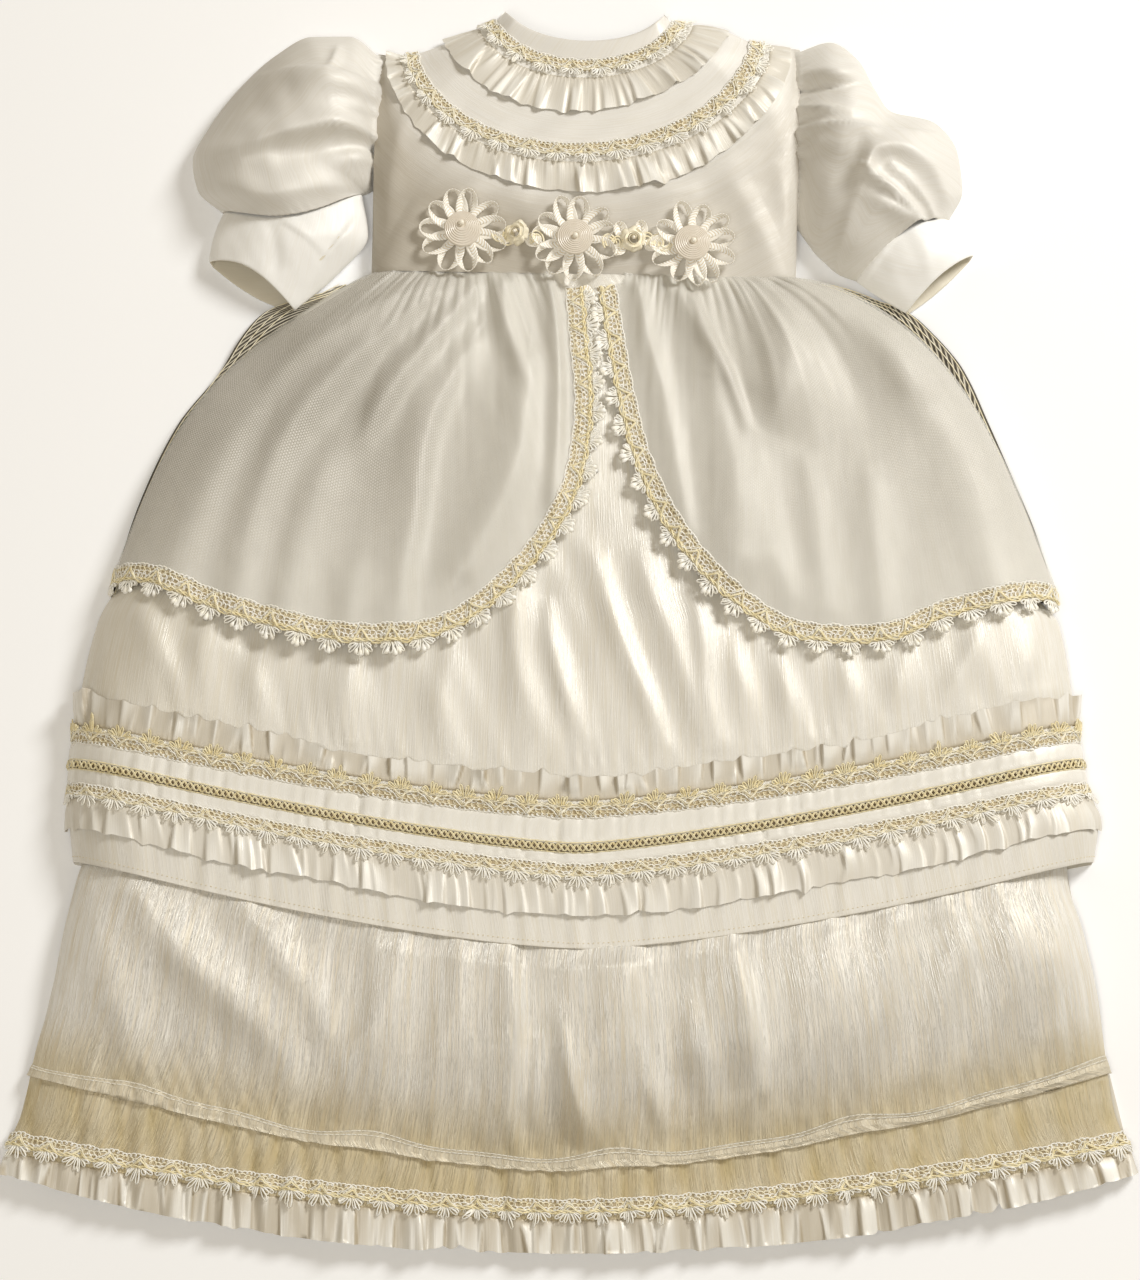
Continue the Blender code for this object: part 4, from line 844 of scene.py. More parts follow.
def braid(name, panel, inner, seed, toward=1, fan=6.0, drop=0.0, core=0.8, gold=0, lead=0.0):
    """Cords in braid millimetres (u, v, lift), laid on the panel: v runs from the straight edge at
    row inner outwards, towards the hem (toward = 1) or the neck (-1). Rows of loops are trochoids
    (u - swing sin t, reach cos t); scallops and a twisted pair run over them, and each fan is six
    loops 24 degrees apart. gold = 1 gives a straw-coloured pair, gold = 2 straw-coloured fans. The
    pattern starts lead repeats in, and drop mm of floss hang under each fan."""
    rng = np.random.default_rng(seed)
    depth = BRAID_WIDTH * core
    total, column_at = panel.tape(panel.below(inner, toward * depth))
    repeats = max(1, round(total / REPEAT))
    repeat = total / repeats
    cords = {"straw": [], "cream": [], "white": []}

    def laid(u, v, lift):
        return panel.at(panel.below(inner, toward * np.asarray(v)), column_at(u), lift)

    def cord(colour, u, v, lift, radius, sides=3):
        u, v, lift = np.broadcast_arrays(*(np.atleast_2d(value) for value in (np.clip(u, 0, total), v, lift)))
        cords[colour].append(tubes(*laid(u, v, lift), radius, sides))

    def scallop(along, shift):
        """1 at sharp peaks, -1 in the round hollows between them."""
        return 1 - 2 * np.abs(np.sin(math.pi * (along / repeat + shift))) ** 0.8

    # rows of small loops fill the braid
    for k, middle in enumerate(np.linspace(0.9, depth - 1.0, round(depth / 2.1))):
        colour, pitch, swing, radius = LOOP_ROWS[k % 3]
        turns = np.linspace(0, total / pitch * FULL_TURN, int(total / pitch * 7))
        u = pitch * turns / FULL_TURN
        v = middle + (0.9 if k == 0 else 1.4) * np.cos(turns) + 0.4 * np.sin(u / 2.3 + middle)
        cord(colour, u - swing * np.sin(turns), v - 0.3 * scallop(u, 0.5),
             1.1 + 0.3 * np.sin(turns + 0.5 * u), radius)
    # scallops over them, and a twisted pair below
    along = np.linspace(0, total, int(total / 1.2))
    pair, thick = ("straw", 1.45) if gold == 1 else ("cream", 1.0)
    for colour, shift, beside, radius, height in (
            ("cream", 0.5, 0.0, 0.46, 2.0), (pair, 0.5, 1.5, 0.42 * thick, 2.2),
            ("white", 0.57, -1.2, 0.40, 1.9)):
        v = depth * 0.50 + beside * 0.6 - scallop(along, shift + lead) * (depth * 0.40 - abs(beside) * 0.5)
        cord(colour, along, v + 0.25 * np.sin(along * 1.7), height + 0.25 * np.sin(along * 0.9), radius)
    for half_turn in (0, math.pi):
        wave = along / repeat * 2 * FULL_TURN + half_turn
        cord(pair, along, depth * 0.76 + 0.65 * np.sin(wave), 1.9 + 0.3 * np.cos(wave), 0.40 * thick)
    # fans of open loops, each starting and ending under the pair
    centre = (np.arange(0.5 - lead, repeats - 0.2) * repeat)[:, None]
    centre = centre[centre[:, 0] > 0.2 * repeat]
    t = np.linspace(0, FULL_TURN, 11)
    for tilt in (-60, -36, -12, 12, 36, 60):
        lean = math.radians(tilt) + rng.normal(0, 0.15, centre.shape)
        uneven = 1 + 0.15 * rng.normal(0, 1, centre.shape)
        long = (fan + 1.5) * (1.0 - 0.35 * (abs(tilt) / 60) ** 1.5) * uneven
        out = long * (1 - np.cos(t)) / 2
        beside = 1.2 * np.sin(t) * (0.3 + 0.7 * out / long)
        u = centre + tilt / 60 * 3.2 + out * np.sin(lean) + beside * np.cos(lean)
        v = depth - 1.5 + out * np.cos(lean) - beside * np.sin(lean)
        cord("straw" if gold == 2 else "white", u, v, 1.9 + 0.25 * np.sin(t) + out / fan, 0.54)
    # hanging drops of floss: narrow above, round below
    if drop:
        t = np.linspace(0, 1, 10)
        width = 1.45 * np.sin(math.pi * 0.97 * t ** 1.7) ** 0.7 + 0.3
        for spread, share in ((-1.9, 0.62), (0.2, 1.0), (2.1, 0.7)):
            long = drop * share * (1 + 0.12 * rng.normal(0, 1, centre.shape))
            lean = spread * 0.2 + rng.normal(0, 0.12, centre.shape)
            cord("white", centre + spread + lean * t * long, depth + 0.8 + t * long,
                 1.4 + 0.7 * np.sin(t * math.pi), width * share ** 0.5, 6)
    node = name.replace("_cords", "")
    for colour, made in cords.items():
        if made:
            dress(mesh_of(f"{name}_{colour}", *joined(made), colour + "_cord"), "braid", node)
    # under the cords lies a dark strip of painted shade, for the shade between them
    u = np.linspace(0, total, int(total / 3))
    shade_strip = np.array([laid(u, v, lift)[0] for v, lift in (
        (0.5, 0.4), (1.0, 0.8), (depth * 0.5, 0.9), (depth * 0.85, 0.8), (depth * 0.95, 0.5))])
    cloth(name + "_ground", shade_strip[::toward], "braid_painted_shade", "braid", node, "draped", [panel.name],
          least=BRAID_WIDTH)


# %% Stitches and strips
def stitches(name, panel, row, paint, node, long, pitch=3.4, radius=0.22):
    """Short threads along a pattern row: each a tube that dips into the cloth at both ends."""
    total, column_at = panel.tape(row)
    centre = np.arange(2 + pitch, total - 2, pitch)
    t = np.linspace(-0.5, 0.5, 4)
    points, normals = panel.at(row, column_at(centre[:, None] + t * long), 0.3 - 1.6 * t ** 2)
    dress(mesh_of(name, *tubes(points, normals, radius, 3), paint), "silk", node)


def strip(name, panel, top, bottom, seed, lift, pitch):
    """A folded band laid on a panel: both edges turn down to it, and short dents cross it unevenly."""
    rng = np.random.default_rng(seed)
    total, column_at = panel.tape((top + bottom) / 2)
    u = np.linspace(0, total, int(total / 1.9))
    v = np.array((0, 0.03, 0.1, 0.25, 0.4, 0.5, 0.6, 0.75, 0.9, 0.97, 1))[:, None]
    dent = sum(np.sin(u * FULL_TURN / (pitch * k) + p + 1.2 * v)
               for k, p in zip((1, 0.62, 1.7, 2.9), rng.uniform(0, 6, 4)))
    dent = 0.5 * np.minimum(dent, 0.4) * np.sin(v * math.pi) ** 0.4 * (0.6 + 0.4 * np.sin(u * 0.05 + seed))
    height = lift * np.minimum(1, 4 * np.minimum(v + 0.05, 1.05 - v)) ** 0.5 + dent
    points, _ = panel.at(top + (bottom - top) * v, column_at(u), height)
    cloth(name, points, "ruffle_silk", "silk", name.removesuffix("_silk"), "folded", [panel.name], least=12)


print("one repeat of braid is", REPEAT, "mm long and", BRAID_WIDTH, "mm wide")

# %% [markdown]
# ## Tuck, braid and ruffle at the skirt's hem
#
# A tuck is a fold stitched down so that the hem can be let out later. It lies over the skirt like a
# flat ribbon, its lower lip standing a little free. Then come the braid and the pleated ruffle.

# %% The skirt's hem trims
def tuck_strip():
    """From the stitching the fold lies flat, its lip stands out and turns back under. Its line strays
    from the pattern row, because folds of the skirt are caught in it."""
    total, column_at = skirt.tape(12)
    columns = column_at(np.linspace(0, total, 460))
    v = np.array((0, 0.08, 0.25, 0.5, 0.75, 0.93, 1.0, 1.03, 0.98, 0.85, 0.5))[:, None]
    height = np.array((0.2, 0.5, 0.9, 1.3, 1.7, 2.1, 2.0, 1.5, 1.0, 0.8, 0.5))[:, None]
    u = columns * total
    stray = 0.15 * np.sin(u * 0.045 + 1) + 0.10 * np.sin(u * 0.083)
    wave = 0.5 * np.sin(u * 0.115 + 1.5 * np.sin(u * 0.021)) + 0.35 * np.sin(u * 0.31 + 2 * np.sin(u * 0.05))
    out = np.clip(v, 0, 1)
    pucker = np.abs(np.sin(u * 0.62 + 2.2 * np.sin(u * 0.09))) ** 3 * np.sin(math.pi * out ** 0.6)
    lift = height + out * wave * 0.6 + 0.45 * pucker
    return skirt.at(11 + v * 1.02 + 0.02 * wave * v + stray, columns, lift)[0]


tuck = Panel(tuck_strip(), np.arange(11), "skirt_tuck")
# painted shade: the tuck is darkened like the skirt around it
cloth(tuck.name, tuck.points, "skirt_silk", "silk", "skirt_front", "folded", [skirt.name], painted_shade=0.42)
for name, row in (("upper", 0.5), ("lower", 1.6)):
    stitches("tuck_stitches_" + name, tuck, row, "white_cord", "skirt_front", long=2.9, radius=0.27)
ruffle("hem_ruffle_silk", skirt, 15.07, 17, seed=11, shade=0.8)
braid("hem_braid_cords", skirt, 14, seed=12, gold=1)

# %% [markdown]
# ## The tier
#
# Over the skirt lies a shorter one, the tier. A band of faggoting runs round it: the cloth is cut
# apart and joined again by crossing threads, so that a row of holes is left between two rails. The
# tier is therefore two pieces of silk, and the drawn threads hold the lower one.

# %% Measures and silk of the tier
TIER_SIDES = np.array([(208, -118, 135), (190, -156, 182), (150, -204, 228), (100, -242, 252),
                       (50, -261, 268), (15, -271, 280), (3, -283, 288), (-12, -290, 300),
                       (-50, -298, 306), (-112, -304, 313), (-135, -303, 320), (-160, -300, 316)], float)
# waist, 0-3 hidden, ruffle end 7, braid 8-9, faggoting 10-11, braid 12-13, ruffle end 14, hem 15
TIER_LINES = ((208, 0, 1), (140, 0, 1), (80, 0, 1), (30, 0, 1), (-12, 6, 1.6), (-45, 26, 1.6), (-78, 42, 1.6),
              (-111, 55, 1.6), (-125, 50, 1.45), (-137, 50, 1.45), (-152.5, 55, 1.35), (-157, 55, 1.35),
              (-164, 53, 1.35), (-176, 54, 1.35), (-196, 57, 1.4), (-214, 55, 1.5))
TIER_FOLDS = (
    ((-28, 13, 2, 7, 8), (-34, -16, 5, 8, 10), (-30, -52, 4, 8, 10), (-18, -88, 2, 8, 10)),
    ((-13, -9, 2, 5, 6), (-10, -34, 4, 6, 7), (-2, -65, 4, 6, 7), (7, -88, 2, 6, 7)),
    ((17, 22, 2, 9, 8), (24, -6, 4, 10, 6), (35, -37, 5, 10, 6), (48, -69, 4, 10, 6),
     (55, -92, 2, 9, 6)),
    ((43, 22, 2, 8, 9), (51, -3, 5, 9, 10), (63, -31, 5, 9, 11), (72, -60, 4, 9, 11),
     (80, -90, 2, 9, 11)),
    ((75, 3, 2, 6, 8), (80, -28, 4, 6, 9), (82, -58, 3, 6, 9), (88, -89, 2, 6, 9)),
    ((98, -28, 1, 7, 7), (104, -58, 3, 8, 8), (107, -88, 1, 7, 7)),
    ((126, -34, 1, 7, 7), (131, -65, 3, 8, 8), (136, -87, 1, 7, 7)),
    ((162, -33, 1, 8, 8), (167, -58, 3, 9, 9), (169, -80, 1, 8, 8)),
    ((202, -31, 1, 8, 8), (198, -55, 3, 9, 9), (194, -74, 1, 8, 8)),
    ((254, -7, 1, 8, 9), (240, -40, 4, 9, 11), (225, -69, 1, 9, 10)),
    ((279, -12, 1, 7, 7), (277, -37, 3, 8, 8), (272, -58, 1, 7, 7)),
    ((-268, 10, 1, 8, 8), (-257, -18, 4, 10, 9), (-241, -49, 4, 10, 9), (-229, -72, 1, 9, 9)),
    ((-211, -7, 1, 10, 10), (-222, -31, 5, 10, 16), (-219, -58, 3, 10, 16), (-214, -78, 1, 9, 12)),
    ((-186, -28, 1, 8, 8), (-188, -52, 3, 9, 9), (-183, -80, 1, 8, 8)),
    ((-132, -34, 1, 10, 10), (-134, -65, 4, 12, 12), (-128, -101, 1, 10, 10)),
    ((-74, -34, 1, 10, 10), (-77, -65, 4, 12, 12), (-71, -104, 1, 10, 10)),
)


def band_y(x):
    """Where the tier is gathered into its trimmed band."""
    return -108 + 53 * np.abs(x / 308) ** 1.55


def tier_relief(x, y):
    """Folds above the band, small gathers that die out over it, and upright dents in the hem below.
    In the middle the cloth swells where it is sewn in at the waist."""
    above = ramp(y - band_y(x), -4, 4)
    hem = ramp(band_y(x) - y, 78, 84)
    dents = np.sin(x * 0.36 + 2.5 * np.sin(x * 0.037)) * np.abs(np.sin(x * 0.083 + 1)) ** 2
    below = waist_y(x) - y
    swell = 4 * np.exp(-(below / 5) ** 2) + 2.6 * np.exp(-(below / 75) ** 2)
    return (swell * ramp(x, -14, -8) * ramp(x, 38, 32) + fold_height(x, y, TIER_FOLDS) * above
            + unevenness(x, y, 6, 34, 1.3) * (0.35 + 0.65 * above)
            + puckers(x, y, band_y(x), 9.5, 1.1, 17, 0.15, 7) * above + hem * 0.5 * dents)


tier_rows = np.concatenate((np.linspace(0, 3, 16), np.linspace(3.1, 10, 84), np.linspace(10.5, 11, 2),
                            np.linspace(11.1, 15, 44)))
tier = Panel(front_panel(TIER_LINES, TIER_SIDES, 1, tier_rows, 260, tier_relief), tier_rows, "tier_silk")
upper, lower = tier.points[tier_rows <= 10], tier.points[tier_rows >= 11]
# painted shade: the tier darkens towards its left side, which lies away from the lamp
cloth(tier.name, upper, "tier_silk", "silk", "tier_front", "gathered", [skirt.name],
      painted_shade=0.15 * ramp(-upper[..., 0], 150, 300), true_row=50)
cloth("tier_hem_silk", turned_hem(lower, 10), "tier_silk", "silk", "tier_front", "folded", [skirt.name],
      flat=lower)

# %% Ruffles, braid and strips of the tier's band
ruffle("band_ruffle_upper_silk", tier, 8.1, 7, seed=21, shade=0.7)
ruffle("band_ruffle_lower_silk", tier, 12.85, 14, seed=22, rise=3.4)
strip("band_strip_upper_silk", tier, 8.95, 10.0, seed=23, lift=1.5, pitch=7)
strip("band_strip_lower_silk", tier, 11.0, 12.05, seed=24, lift=1.4, pitch=6)
braid("band_braid_upper_cords", tier, 9, seed=25, toward=-1, fan=5.0, gold=2)
braid("band_braid_lower_cords", tier, 12, seed=26)
stitches("tier_hem_stitches", tier, 14.84, "stitch_thread", "tier_front", long=0.9, pitch=3.0)

# %% [markdown]
# ## Faggoting
#
# Two rolled rails and two threads that cross between them, over and under in turn. The threads pull
# each rail into small points where they catch it.

# %% Drawn threads
def faggoting(panel, top, bottom, pitch):
    """Rails along both rows; each pair of threads is a zigzag v = |2 (u / pitch mod 1) - 1|, the second
    half a pitch on and over the first. Behind them lies a dark strip of painted shade, standing for the
    shade seen through the holes."""
    total, column_at = panel.tape(top)
    count = round(total / pitch)
    u = np.linspace(0, total, count * 7 + 1)
    phase = u / total * count
    swell = np.sin(phase * FULL_TURN)
    cords = []

    def thread(row, u, lift, radius):
        points, normals = panel.at(row, column_at(u), lift)
        cords.append(tubes(points[None], normals[None], radius, 3))

    for row in (top - 0.10, bottom + 0.10):
        thread(row, u, 1.3, 0.42 + 0.1 * swell)
    for shift, height in ((0.0, 1.7), (0.5, 2.1)):
        v = np.clip(1.16 * np.abs(2 * ((phase + shift) % 1) - 1) - 0.08, 0, 1)
        for twin in (-0.38, 0.38):
            thread(top + (bottom - top) * v, u + twin, height + 0.3 * swell, 0.37)
    dress(mesh_of("tier_drawn_threads", *joined(cords), "straw_cord"), "silk", "tier_front")
    columns = np.linspace(0, 1, 300)
    shade = np.array([panel.at(top + (bottom - top) * share, columns, lift)[0]
                      for share, lift in ((-0.1, -0.6), (0.2, 0.1), (0.8, 0.1), (1.1, -0.6))])
    cloth("tier_painted_shade_strip", shade, "painted_shade_silk", "silk", "tier_front", "folded", [skirt.name], least=12)


faggoting(tier, top=10.0, bottom=11.0, pitch=7.2)

# %% [markdown]
# ## The overskirt's cut
#
# The overskirt opens in front and curves away to the sides like a coat. Its hem and front edge are
# one line. A pattern cutter would draw the waist and that line and fan the grain between them, and so
# do we: a column joins one place of the waist to the same share of the edge. The silk is gathered at
# the waist, so many small folds start there and die out at different depths.

# %% Measures of the overskirt
OVERSKIRT_EDGE = {
    "left": ((-281, 12), (-254, 7), (-207, -13), (-150, -28), (-118, -31), (-84, -27), (-54, -12), (-20, 21),
             (3, 59), (12.5, 98), (14, 130), (11, 165), (8.5, 200)),
    "right": ((299, -1), (280, -2), (253, -9), (226, -16), (199, -28), (169, -31), (133, -27), (103, -10),
              (79, 12), (55, 46), (38, 86), (29, 124), (23, 160), (17.5, 200))}
SIDE_BULGE = {"left": (30.0, 1.0), "right": (38.0, 0.75)}
WAIST_SPLIT = {"left": -10.0, "right": 33.0}
SIDE_TURN = 0.09         # share of an overskirt front's columns that roll down at its side
NET_SIDES = np.array([(208, -126, 143), (200, -160, 178), (190, -189, 209), (175, -203, 226),
                      (150, -218, 246), (117, -243, 260), (79, -261, 275), (47, -272, 287),
                      (0, -283, 300)], float)
OVERSKIRT_FOLDS = {
    "left": (
        ((-90, 199, 4, 9, 9), (-121, 183, 6, 13, 10), (-151, 162, 7, 15, 11), (-176, 144, 4, 13, 11),
         (-190, 129, 1, 10, 10)),
        ((-73, 198, 3, 8, 7), (-96, 183, 5, 12, 9), (-125, 156, 7, 15, 11), (-155, 124, 7, 15, 12),
         (-176, 92, 6, 14, 13), (-192, 45, 5, 15, 14), (-201, -5, 4, 16, 14)),
        ((-59, 199, 3, 7, 6), (-71, 182, 5, 10, 7), (-93, 153, 6, 12, 8), (-112, 124, 6, 12, 7),
         (-126, 97, 2, 9, 7)),
        ((-62, 159, 2, 12, 7), (-80, 124, 4, 18, 6), (-89, 92, 5, 22, 6), (-93, 54, 5, 24, 6),
         (-99, 19, 5, 24, 7), (-103, -18, 4, 22, 8)),
        ((-141, 98, 2, 12, 12), (-153, 67, 4, 14, 16), (-164, 29, 4, 14, 18), (-173, -15, 4, 14, 18)),
        ((-25, 149, 2, 12, 8), (-27, 124, 5, 16, 10), (-32, 86, 6, 20, 12), (-44, 53, 5, 20, 13),
         (-62, 18, 4, 18, 13)),
        ((-42, 200, 4, 7, 6), (-39, 175, 5, 8, 8), (-31, 148, 3, 8, 8), (-27, 135, 1, 7, 7)),
        ((-12, 201, 3, 5, 4), (-8, 162, 3, 6, 3.5), (-7, 111, 3, 6, 3.5), (-10, 57, 2, 6, 5)),
        ((-185, 127, 1, 12, 12), (-203, 105, 3, 14, 13), (-223, 60, 4, 15, 14), (-240, 10, 3, 14, 14)),
        ((-125, 23, 1, 12, 12), (-131, 4, 3, 13, 12), (-136, -24, 3, 13, 12))),
    "right": (
        ((77, 191, 3, 4, 3), (85, 165, 4, 5, 3), (96, 142, 4, 5, 3), (108, 106, 2, 5, 4)),
        ((115, 193, 3, 14, 12), (129, 172, 7, 20, 18), (134, 146, 9, 24, 22), (132, 124, 8, 24, 22),
         (122, 102, 2, 16, 18)),
        ((143, 195, 3, 12, 14), (170, 180, 6, 16, 20), (195, 159, 8, 18, 24), (209, 137, 7, 16, 24),
         (218, 116, 2, 14, 20)),
        ((68, 195, 3, 8, 6), (83, 156, 4, 14, 9), (93, 111, 4, 20, 12), (101, 67, 6, 24, 16),
         (102, 23, 6, 24, 18)),
        ((43, 198, 2, 6, 5), (49, 162, 3, 8, 7), (58, 124, 3, 12, 8), (65, 79, 3, 14, 6),
         (71, 41, 2, 12, 6)),
        ((144, 79, 1, 9, 9), (149, 41, 2, 10, 10), (155, -9, 2, 11, 11)),
        ((182, 73, 1, 9, 9), (185, 35, 2, 11, 11), (188, -15, 2, 11, 11)),
        ((218, 121, 1, 16, 12), (240, 89, 2, 18, 14), (254, 45, 2, 18, 14), (261, 1, 2, 16, 14)),
        ((207, 169, 3, 12, 10), (228, 142, 4, 12, 10), (249, 105, 3, 12, 10), (263, 60, 2, 12, 10)),
        ((116, 79, 1, 9, 9), (121, 35, 2, 10, 10), (133, -2, 2, 10, 10)))}


def gathers(share, depth, count, height, seed):
    """Sharp little ridges along the waist: each at its own place, height * exp(-(1.3 offset / half)^2)
    * exp(-depth / fade), half widening and fade differing from one to the next."""
    rng = np.random.default_rng(seed)
    total = 0.0
    for k in range(count):
        place = (k + 0.5 + rng.uniform(-0.35, 0.35)) / count
        fade, lean = rng.uniform(0.05, 0.34), rng.uniform(-0.05, 0.05)
        half = (0.26 + 0.9 * depth) / count * rng.uniform(0.6, 1.5)
        ridge = np.exp(-(1.3 * (share - place - lean * depth) / half) ** 2)
        total = total + height * rng.uniform(0.5, 1.2) * ridge * np.exp(-depth / fade)
    return total


def overskirt_panel(side, columns=132):
    """Row s from 0 to 1 runs from the waist to the braid, to 2 across the braid and to 3 past the edge.
    Between waist and braid the side bulges by sin(pi s ^ skew). Columns turn over the side's roll by a
    quarter circle."""
    left = side == "left"
    _, length = curve_through(OVERSKIRT_EDGE[side], [0.0])
    roll = float(read(DOME, 0.0, 2))
    w = np.linspace(0, 1, columns)
    turned = 1 - np.cos(ramp(w, 0, SIDE_TURN) * QUARTER_TURN)
    share = roll / length * turned + ramp(w, SIDE_TURN, 1) * (1 - roll / length)
    edge, ahead, behind = (curve_through(OVERSKIRT_EDGE[side], np.clip(share + d, 0, 1))[0]
                           for d in (0, 0.006, -0.006))
    run = unit(ahead - behind)
    sign = 1.0 if left else -1.0
    inward = np.column_stack((-run[:, 1], run[:, 0])) * sign
    seam = np.array(WAIST_LEFT if left else WAIST_RIGHT)
    split = np.array((WAIST_SPLIT[side], waist_y(WAIST_SPLIT[side])))
    waist = seam + (split - seam) * share[:, None] + (0, 1.4)
    rows = np.concatenate((np.linspace(0, 0.3, 40), np.linspace(0.31, 1, 64), np.linspace(1.1, 2, 10),
                           np.linspace(2.2, 3, 5)))
    t = ramp(rows, 0, 1)[:, None, None]
    chord = edge + inward * BRAID_WIDTH - waist
    along = unit(chord)
    outward = np.column_stack((along[:, 1], -along[:, 0])) * sign
    bulge, skew = SIDE_BULGE[side]
    plan = waist + chord * t + outward * (bulge * ramp(share, 0.62, 0))[:, None] * np.sin(math.pi * t ** skew)
    plan = plan - inward * (ramp(rows, 1, 2) * BRAID_WIDTH + ramp(rows, 2, 3) * 7)[:, None, None]
    x, y = plan[..., 0], plan[..., 1]
    depth = t[..., 0]
    width = np.interp(depth, (0, 0.2, 0.4), (roll * 0.32, roll * 0.8, roll))
    from_side = ramp(np.linalg.norm(plan - plan[:, :1], axis=2), 0, width)
    calm = ramp(share, 1, 0.93) ** 0.7
    relief = (FOLD_RISE * fold_height(x, y, OVERSKIRT_FOLDS[side])
              + gathers(share, depth, 23, 1.9, 31 if left else 32)
              + unevenness(x, y, 33 if left else 34, 40, 1.2) + unevenness(x, y, 35, 13, 0.35, 4)) * calm
    relief = relief * ramp(depth, 0, 0.03) - 0.9 * np.exp(-depth / 0.012)
    z = EDGE_REST + (read(DOME, y, 1) - EDGE_REST + relief) * np.sqrt(1 - (1 - from_side) ** 2)
    points = np.dstack((x, y, z))
    return Panel(points if left else points[:, ::-1], rows, "overskirt_silk_" + side)


# %% Overskirt fronts in silk
overskirt = {side: overskirt_panel(side) for side in SIDES}
for side, panel in overskirt.items():
    # painted shade: each front darkens towards its side and up towards the waist, the left one much more, as
    # it lies away from the lamp
    darker, lead, seed = (0.9, 0.0, 36) if side == "left" else (0.3, 0.5, 37)
    body = panel.points[panel.rows < 1.85]      # the silk ends under its braid
    cloth(panel.name, body, "veiled_silk", "silk", "overskirt_" + side, "gathered", [tier.name],
          painted_shade=darker * ramp(np.abs(body[..., 0]), 50, 120) * ramp(body[..., 1], 10, 100), true_row=100)
    braid("overskirt_braid_cords_" + side, panel, 1.0, seed, fan=5.8, drop=6.6, core=1.15, gold=1, lead=lead)

# %% [markdown]
# ## Net over the silk
#
# A layer of soft net floats over each front and shows beyond it at the sides, where it is folded
# double. It is sewn in at the same waist seam, but its gathers are its own, so they cross those of
# the silk beneath.

# %% Net fronts, net sides and the silk back
def net_front(side):
    """The front panel's places, lifted 0.9 mm and a little more where the net's own gathers run."""
    rows = np.concatenate((np.linspace(0, 0.3, 30), np.linspace(0.32, 1.08, 44)))[:, None]
    columns = np.linspace(0.0, 1.0, 140)
    share = columns if side == "left" else 1 - columns
    own = gathers(share, rows, 34, 1.1, 41) * ramp(rows, 0, 0.04)
    wave = 0.35 * np.sin(share * 60 + rows * 3) * np.clip(1 - rows, 0.2, 1)
    return overskirt[side].at(rows, columns, 0.5 + 0.4 * ramp(rows, 0, 0.05) + own + wave)[0]


def side_edge(side, y):
    """Where the silk front's side edge meets the table, as x at a height y of the plan."""
    line = overskirt[side].points[:104, 0 if side == "left" else -1]
    return np.interp(-np.asarray(y, float), -line[:, 1], line[:, 0])


def net_flap(side, layer):
    """Net past the silk's edge: columns run from 14 mm inside it to the net's own edge, with long
    folds beside the edge. The second layer is the same net folded back, a little higher."""
    sign = -1 if side == "left" else 1
    y = np.linspace(207, 2, 70)[:, None]
    w = np.linspace(0, 1, 18)
    inner = side_edge(side, y) - sign * 14
    outer = read(NET_SIDES, y, 1 if side == "left" else 2) + sign * (1.0 - 2.2 * layer)
    reach = np.maximum(sign * (outer - inner), 12 + 12 * ramp(y, 120, 180))
    wave = np.sin(w * 9 + y * 0.03 + 2 * layer) * 0.8 + np.sin(w * 17 - y * 0.05) * 0.4
    z = 1.5 + 1.9 * layer + wave * np.sin(w * math.pi) + 2.6 * np.sin(ramp(y, 207, 147) * math.pi) * w
    points = np.dstack((inner + sign * reach * w, y + 0 * w, np.maximum(z, 0.7)))
    return points if side == "right" else points[:, ::-1]


for side in SIDES:
    cloth("net_front_" + side, net_front(side), "net_white", "net", "overskirt_" + side, "gathered",
          [overskirt[side].name], true_row=70)
    # the lower layer is a dark sheet of painted shade, the upper one the net in a painted shadow tone
    for layer, paint in enumerate(("net_painted_shade", "net_shadow")):
        flap = net_flap(side, layer)
        cloth(f"net_side_{side}_{layer + 1}", flap, paint, "net", "overskirt_back", "draped")
    edges = (0, 3, 6) if side == "left" else (-1, -4, -7)
    rims = np.array([flap[:, column] + (0, 0, 0.4) for column in edges])
    dress(mesh_of("net_folds_" + side, *tubes(rims, UP, 0.3), "cream_cord"), "net", "overskirt_back")


def overskirt_back():
    """A flat sheet between the two side edges, its upper end drawn to the slope of the waist."""
    y = np.linspace(208, 6, 60)[:, None]
    w = np.linspace(0, 1, 60)
    left, right = side_edge("left", y), side_edge("right", y)
    slope = (waist_y(left + (right - left) * w) - WAIST_GAP - 208) * ramp(y, 150, 208)
    return np.dstack((left + 1 + (right - left - 2) * w, y + slope, np.full((60, 60), 0.95)))


cloth("overskirt_back_silk", overskirt_back(), "back_silk", "silk", "overskirt_back", "gathered", wall=0.7)

# %% [markdown]
# ## The bodice's cut
#
# The bodice hangs from the neck like a yoke: every seam and trim line on it is an arch from shoulder
# to shoulder, each wider than the last. Below the last ruffle the lines blend into the armholes and
# the waist. An arch takes seven numbers: both ends, its lowest y and its height above the table.

